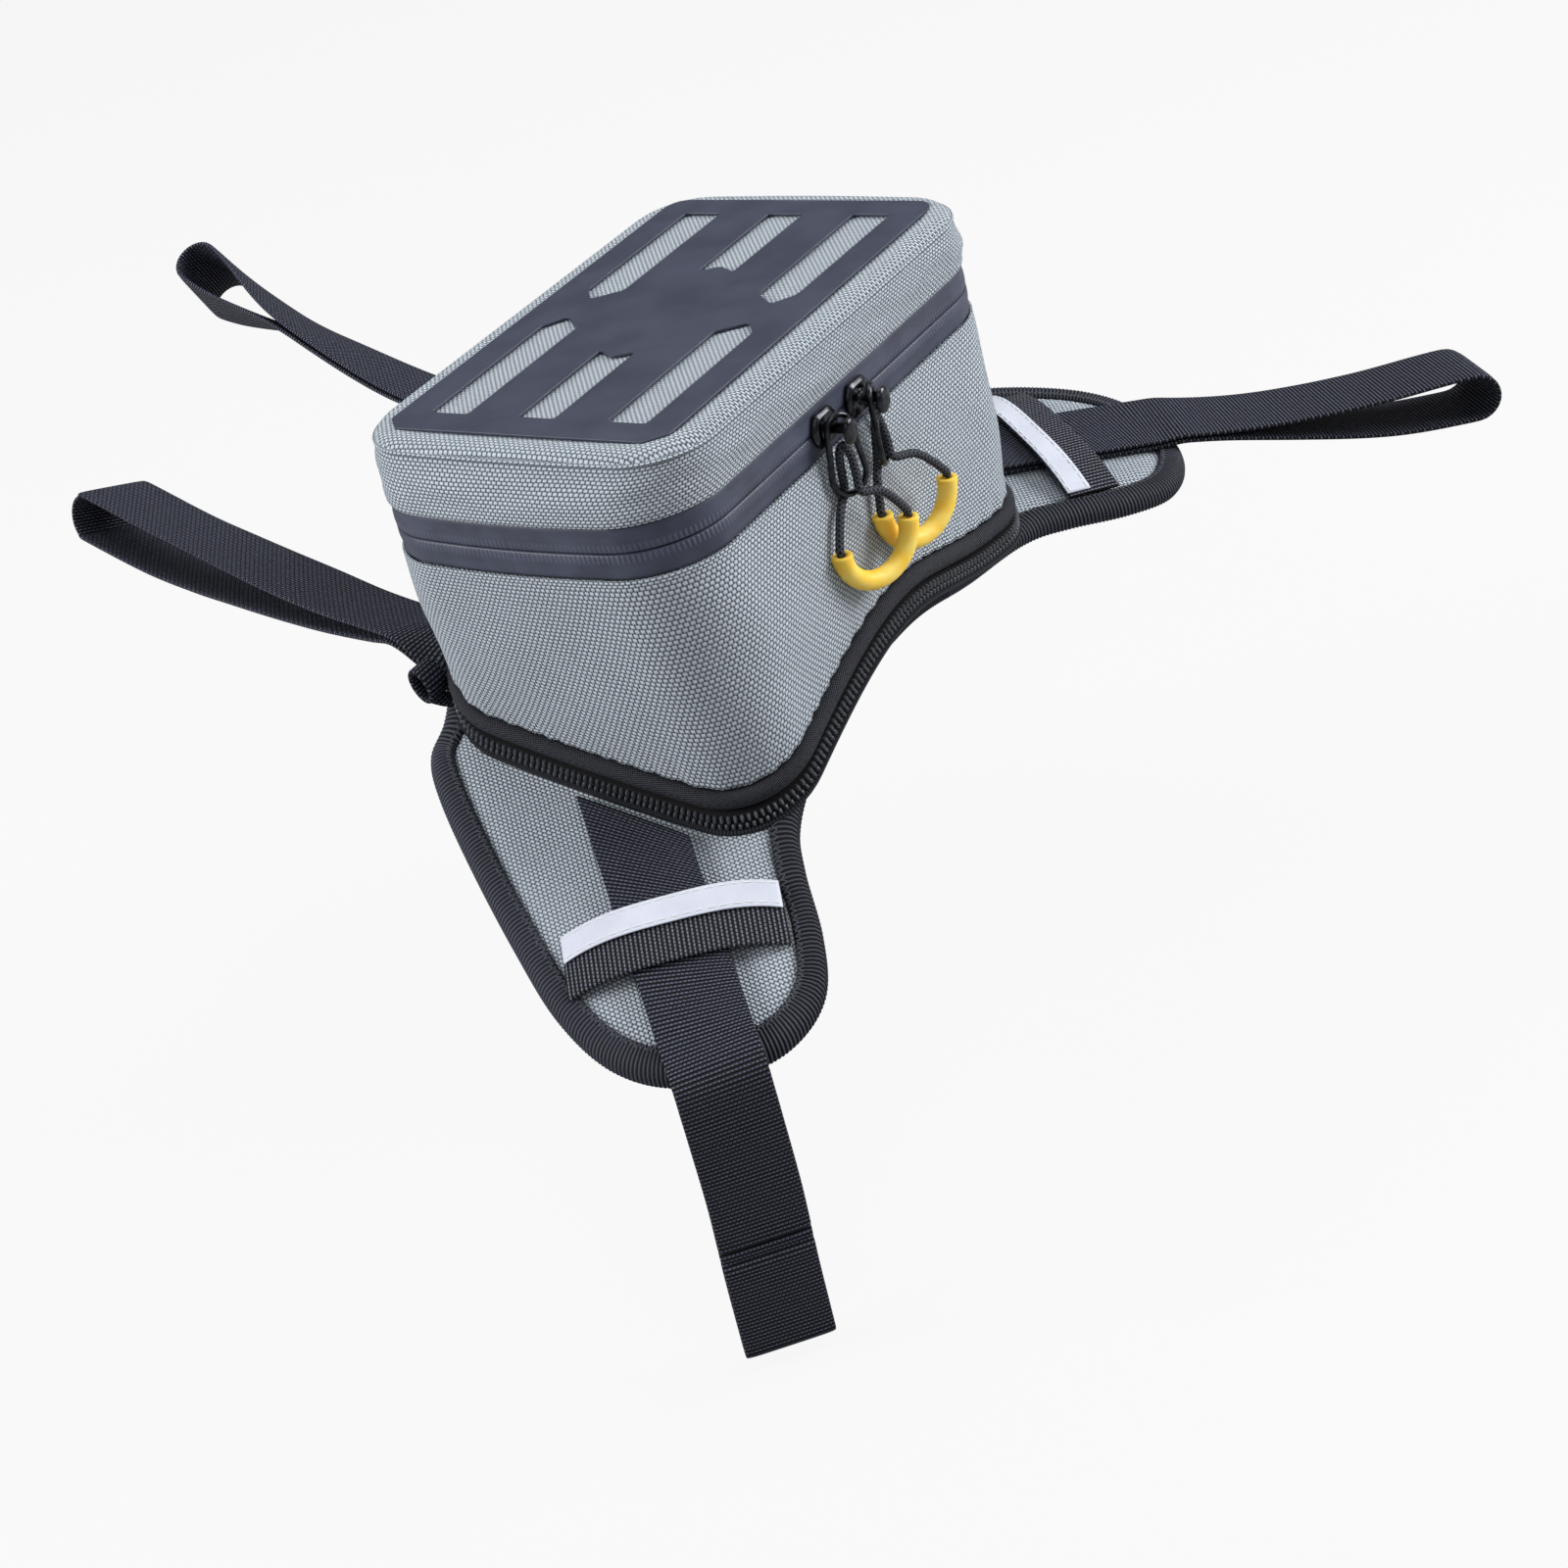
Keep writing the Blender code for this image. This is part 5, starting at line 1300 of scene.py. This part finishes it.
BRIDGE_ROWS = [(3.0, 2.0), (2.4, 2.5), (2.0, 3.0), (1.9, 4.0), (1.9, 8.2), (2.1, 8.8), (2.5, 9.15)]


def many_sided(widths, count=72, crispness=14):
    """Rounded polygon from its half widths: 1 / r is the p-norm of the projections over the widths."""
    turn = np.linspace(0, 2 * math.pi, count, endpoint=False)
    pulls = [np.abs(np.cos(turn - math.radians(angle)) / width) ** crispness for angle, width in widths]
    radius = sum(pulls) ** (-1 / crispness)
    return np.column_stack([radius * np.cos(turn), radius * np.sin(turn)])


def closed_stack(outline, rows, centre):
    """Form along +X: copies of an outline in (y, z), each scaled and set out by its row, in millimetres.

    Each end is closed by a row shrunk to its middle.
    """
    rows = [(0.0, rows[0][1]), *rows, (0.0, rows[-1][1])]
    scale, out = np.array(rows).T
    flat = outline[:, None] * scale[:, None]
    x = np.broadcast_to(out, flat.shape[:2])
    points = np.concatenate([x[..., None], flat], axis=-1) * MM + centre
    uv = points[..., 1:]
    return patch(points, np.concatenate([uv, uv[:1]]), wrap_u=True)


black_metal, metal_shade = finish("black_metal", Metallic=1.0, Coat_Weight=0.35, Coat_Roughness=0.12)
metal_cloud = metal_shade.cloud(450.0, 3.0)
metal_grain = metal_shade.cloud(5200.0, 2.0)
metal_colour = metal_cloud.step(0.3, 0.75).mix(paint(30, 31, 35), paint(62, 64, 70))
dress(metal_shade, metal_colour, 0.2 + 0.18 * metal_grain, metal_cloud + 0.3 * metal_grain, 0.05 * MM)

shield = many_sided(SHIELD_WIDTHS)
head = many_sided(HEAD_WIDTHS, crispness=7) + (0, HEAD_DROP)
circle = many_sided(((0, 1.0), (90, 1.0)), count=32, crispness=2)
for label, y in SLIDER_PLACES.items():
    place = np.array((SLIDER_FACE_X, y, SLIDER_Z))
    solids = [closed_stack(shield, SHIELD_ROWS, place), closed_stack(circle, BRIDGE_ROWS, place),
              closed_stack(head, HEAD_ROWS, place)]
    slider = build("zip_slider_" + label, solids, [black_metal], sharp=45)
    settle(slider, "slider_" + label, "slider_" + label)


# Bails
# A closed stirrup of round black wire, narrow over the slider's bridge and wide at its foot. Each has
# turned a little on its post: the left one towards the rider's left, the right one the other way.
BAIL_X = 63.6 * MM
BAIL_WIRE = 1.0 * MM
BAIL_TOP_RADIUS = 4.1
BAIL_FOOT_RADIUS = 6.0
BAIL_LENGTH = 15.5
BAIL_TURN = {"left": math.radians(26), "right": math.radians(-26)}


def bail_line():
    """Centre line of a bail in its plane: a half circle above, a wider one at the foot, straight between."""
    top = np.linspace(0, math.pi, 24)
    foot = np.linspace(math.pi, 2 * math.pi, 30)
    upper = np.column_stack([np.cos(top), np.sin(top)]) * BAIL_TOP_RADIUS
    lower = np.column_stack([np.cos(foot), np.sin(foot)]) * BAIL_FOOT_RADIUS - (0, BAIL_LENGTH)
    line = np.vstack([upper, lower, upper[:1]]) * MM
    return evenly(line, 120, closed=True)


def turned(points, turn):
    """Points of (out, along, up) turned about the upright so that the along axis leans outwards."""
    out, along, up = points.T
    x = out * math.cos(turn) + along * math.sin(turn)
    return np.column_stack([x, along * math.cos(turn) - out * math.sin(turn), up])


def wire_ring(line, radius, turn, place, sides=12):
    """Wire bent along a closed line in a turned upright plane."""
    path = turned(np.column_stack([np.zeros(len(line)), line]), turn)
    along = unit(np.roll(path, -1, axis=0) - np.roll(path, 1, axis=0))
    outwards = np.array((math.cos(turn), -math.sin(turn), 0.0))
    sideways = np.cross(along, outwards)
    angle = np.linspace(0, 2 * math.pi, sides, endpoint=False)[:, None]
    points = path[:, None] + radius * (np.cos(angle) * sideways[:, None] + np.sin(angle) * outwards) + place
    return patch(points, tube_uv(path, radius, sides, closed=True), wrap_u=True, wrap_v=True)


for label, y in SLIDER_PLACES.items():
    bail_wire = wire_ring(bail_line(), BAIL_WIRE, BAIL_TURN[label], (BAIL_X, y, SLIDER_Z))
    bail = build("zip_bail_" + label, [bail_wire], [black_metal])
    settle(bail, "bail_" + label, "bail_" + label)


# Pull cords and grips
# A braided cord doubled through each bail, its two ends pushed into a bent tube of amber rubber that makes a
# finger grip.
CORD_RADIUS = 1.35
GRIP_RADIUS = 3.1
GRIP_BORE = 1.55
GRIP_BEND = 13.5
GRIP_DROP = 36.0
GRIP_YAW = math.radians(18.6)
GRIP_X = 67.6
GRIP_SHIFT = {"left": 0.0, "right": 5.0}
GRIP_FLARE = 0.25
CORD_TURN_Z = -5.6
CORD_STRAND = 1.5
CORD_SAMPLES, CORD_SIDES = 110, 12
GRIP_FLARE_REACH = 0.06


def cord_points(label):
    """Route of a cord from the hook's axis, in millimetres: up behind the bail's foot and over it."""
    lean = np.array((math.sin(GRIP_YAW), math.cos(GRIP_YAW)))
    middle = np.array((GRIP_X - BAIL_X / MM, GRIP_SHIFT[label]))
    first, second = middle - lean * GRIP_BEND, middle + lean * GRIP_BEND
    foot = -BAIL_LENGTH - BAIL_FOOT_RADIUS
    end = -GRIP_DROP + 0.3
    inside = np.array([
        (-2.4, -CORD_STRAND, foot + 0.6), (-1.6, -CORD_STRAND, -15.0), (-0.7, -CORD_STRAND, -9.0),
        (0.0, 0.0, CORD_TURN_Z),
        (0.7, CORD_STRAND, -9.0), (1.6, CORD_STRAND, -15.0), (2.4, CORD_STRAND, foot + 0.6),
    ])
    inside = turned(inside, BAIL_TURN[label])
    below = (inside[0] * 0.5 + (first[0] * 0.5, first[1] * 0.5, 0)) * (1, 1, 0) + (0, 0, foot - 3.2)
    above = (inside[-1] * 0.5 + (second[0] * 0.5, second[1] * 0.5, 0)) * (1, 1, 0) + (0, 0, foot - 2.4)
    return np.vstack([
        (*first, end), (first[0], first[1] * 0.99, end + 2.5), below, inside, above,
        (second[0], second[1] * 0.99, end + 2.5), (*second, end),
    ])


def grip_line(label, count=48):
    """Half circle of a bent tube, hanging with its open ends up."""
    turn = np.linspace(math.pi, 2 * math.pi, count)
    return np.column_stack([GRIP_X - BAIL_X / MM + math.sin(GRIP_YAW) * GRIP_BEND * np.cos(turn),
                            GRIP_SHIFT[label] + math.cos(GRIP_YAW) * GRIP_BEND * np.cos(turn),
                            -GRIP_DROP + GRIP_BEND * np.sin(turn)])


def sleeve(path, radii, sides, across):
    """Tube of changing radius along a path; across is a direction that the path never takes."""
    along = unit(np.gradient(path, axis=0))
    first = unit(np.cross(along, across))
    second = np.cross(first, along)
    turn = np.linspace(0, 2 * math.pi, sides, endpoint=False)[:, None]
    section = np.cos(turn) * first[:, None] + np.sin(turn) * second[:, None]
    return path[:, None] + radii[:, None, None] * section


braid_black, braid_shade = finish("braided_cord", Specular_IOR_Level=0.3)
braid_place, braid_u, braid_v = braid_shade.uv(1 / (1.5 * MM), 4 / (math.pi * CORD_RADIUS * MM))
braid_left = (braid_u + braid_v * 0.5).wave()
braid_right = (braid_u - braid_v * 0.5).wave()
braid_height = braid_left.math("MAXIMUM", braid_right)
braid_tone = braid_shade.noise(braid_place, 1.7, 2.0)
# Painted highlight: the strands are painted lighter along their crests over the cord's own black.
braid_crest_highlight = (braid_height * (0.6 + 0.7 * braid_tone)).step(0.35, 1.05)
braid_colour = braid_crest_highlight.mix(paint(5, 6, 8), paint(72, 75, 86))
dress(braid_shade, braid_colour, 0.8 - 0.2 * braid_height, braid_height, 0.18 * MM)

amber, amber_shade = finish("amber_rubber", Specular_IOR_Level=0.45, Subsurface_Weight=0.12,
                            Subsurface_Scale=0.002)
amber_cloud = amber_shade.cloud(160.0, 3.0)
amber_grain = amber_shade.cloud(2400.0, 2.0)
amber_colour = amber_cloud.step(0.3, 0.75).mix(paint(255, 206, 60), paint(255, 224, 110))
dress(amber_shade, amber_colour, 0.36 + 0.2 * amber_grain, amber_cloud * 3.0 + 0.25 * amber_grain, 0.08 * MM)

for label, y in SLIDER_PLACES.items():
    hook = np.array((BAIL_X, y, SLIDER_Z))
    tube_path = grip_line(label)
    share = np.linspace(0, 1, len(tube_path))
    flare = GRIP_FLARE * sum(np.exp(-((part / GRIP_FLARE_REACH) ** 2)) for part in (share, 1 - share))
    outer_rows = sleeve(tube_path, (GRIP_RADIUS + flare), 24, (1.0, 0, 0))
    first_up, last_up = unit(tube_path[0] - tube_path[1]), unit(tube_path[-1] - tube_path[-2])
    ends = []
    for row, outwards in ((outer_rows[0], first_up), (outer_rows[-1], last_up)):
        centre = row.mean(axis=0)
        spokes = row - centre
        bore = GRIP_BORE / (GRIP_RADIUS + GRIP_FLARE)
        rings = [centre + spokes * scale + outwards * lift for scale, lift in
                 ((0.96, 0.22), (0.86, 0.32), (bore + 0.08, 0.3), (bore, 0.1), (bore, -3.5), (0.0, -3.6))]
        ends.append(np.stack(rings))
    grip_points = (np.concatenate([ends[0][::-1], outer_rows, ends[1]]) * MM) + hook
    rows = len(grip_points)
    grip_run, grip_round = np.linspace(0, 50 * MM, rows), np.linspace(0, 20 * MM, 25)
    grip_uv = grid_uv(grip_run, grip_round)
    grip = build("pull_finger_grip_" + label, [patch(grip_points, grip_uv, wrap_v=True)], [amber], sharp=60)
    settle(grip, "pull_" + label, "pull_grip_" + label)

    route = open_curve(np.array(cord_points(label)) * MM + hook, CORD_SAMPLES)
    across = (0.25, 1.0, 0.1)
    cord_rows = sleeve(route, np.full(CORD_SAMPLES, CORD_RADIUS * MM), CORD_SIDES, across)
    cord_ends = [np.repeat(route[end, None, None], CORD_SIDES, axis=1) for end in (0, -1)]
    capped = np.concatenate([cord_ends[0], cord_rows, cord_ends[1]])
    cord_uv = tube_uv(route, CORD_RADIUS * MM, CORD_SIDES)
    cord_uv = np.concatenate([cord_uv[:1], cord_uv, cord_uv[-1:]])
    cord = build("pull_braided_cord_" + label, [patch(capped, cord_uv, wrap_v=True)], [braid_black])
    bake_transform(cord)
    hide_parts("pull_cord_" + label)


# Base zip slider and tab
# A small slider parked at the middle of the front side joins the bag to the harness; its flat tab hangs on a
# stub and lies along the zip.
BASE_SLIDER_X = -63.6 * MM
BASE_SLIDER_WIDTHS = ((0, 5.0), (90, 1.85), (22, 4.7), (-22, 4.7))
BASE_SLIDER_ROWS = [(0.96, 0.0), (1.0, 0.2), (1.0, 1.3), (0.9, 1.8), (0.8, 2.0)]
STUB_ROWS = [(1.2, 1.6), (1.2, 3.5), (1.0, 3.9), (0.7, 4.0)]
TAB_CENTRE_OUT = 3.0
TAB_EYE = 1.5
TAB_HALF_THICKNESS, TAB_BEVEL = 0.55, 0.25

base_slider_z = float(seat(BASE_SLIDER_X, 0.0)) + (LOWER_COIL[1] + UPPER_COIL[0]) / 2
base_place = np.array((BASE_SLIDER_X, 0.0, base_slider_z))
plate = many_sided(BASE_SLIDER_WIDTHS) + (0, 0.35)
base_solids = [closed_stack(plate, BASE_SLIDER_ROWS, (0, 0, 0)), closed_stack(circle, STUB_ROWS, (0, 0, 0))]
base_solids = [(points * (-1, 1, 1) + base_place, faces, uv) for points, faces, uv in base_solids]
base_slider = build("base_zip_slider_body", base_solids, [black_metal], sharp=45)
settle(base_slider, "base_slider", "base_zip_slider")

tab_outline = rounded([(1.4, 2.0), (-13, 2.0), (-15, 0.0), (-13, -2.0), (1.4, -2.0), (2.4, 0.0)], 0.6)
tab_slot = rounded([(-6.0, 0.8), (-12.0, 0.8), (-12.0, -0.8), (-6.0, -0.8)], 0.75)
tab_x = BASE_SLIDER_X - TAB_CENTRE_OUT * MM
tab_place = Matrix(((0, 0, 1, tab_x), (1, 0, 0, 0), (0, 1, 0, base_slider_z), (0, 0, 0, 1)))
tab = filled_sheet("base_zip_tab", [tab_outline, circle * TAB_EYE, tab_slot], TAB_HALF_THICKNESS, TAB_BEVEL,
                   tab_place, black_metal, sharp=35)
settle(tab, "base_pull", "base_zip_pull")
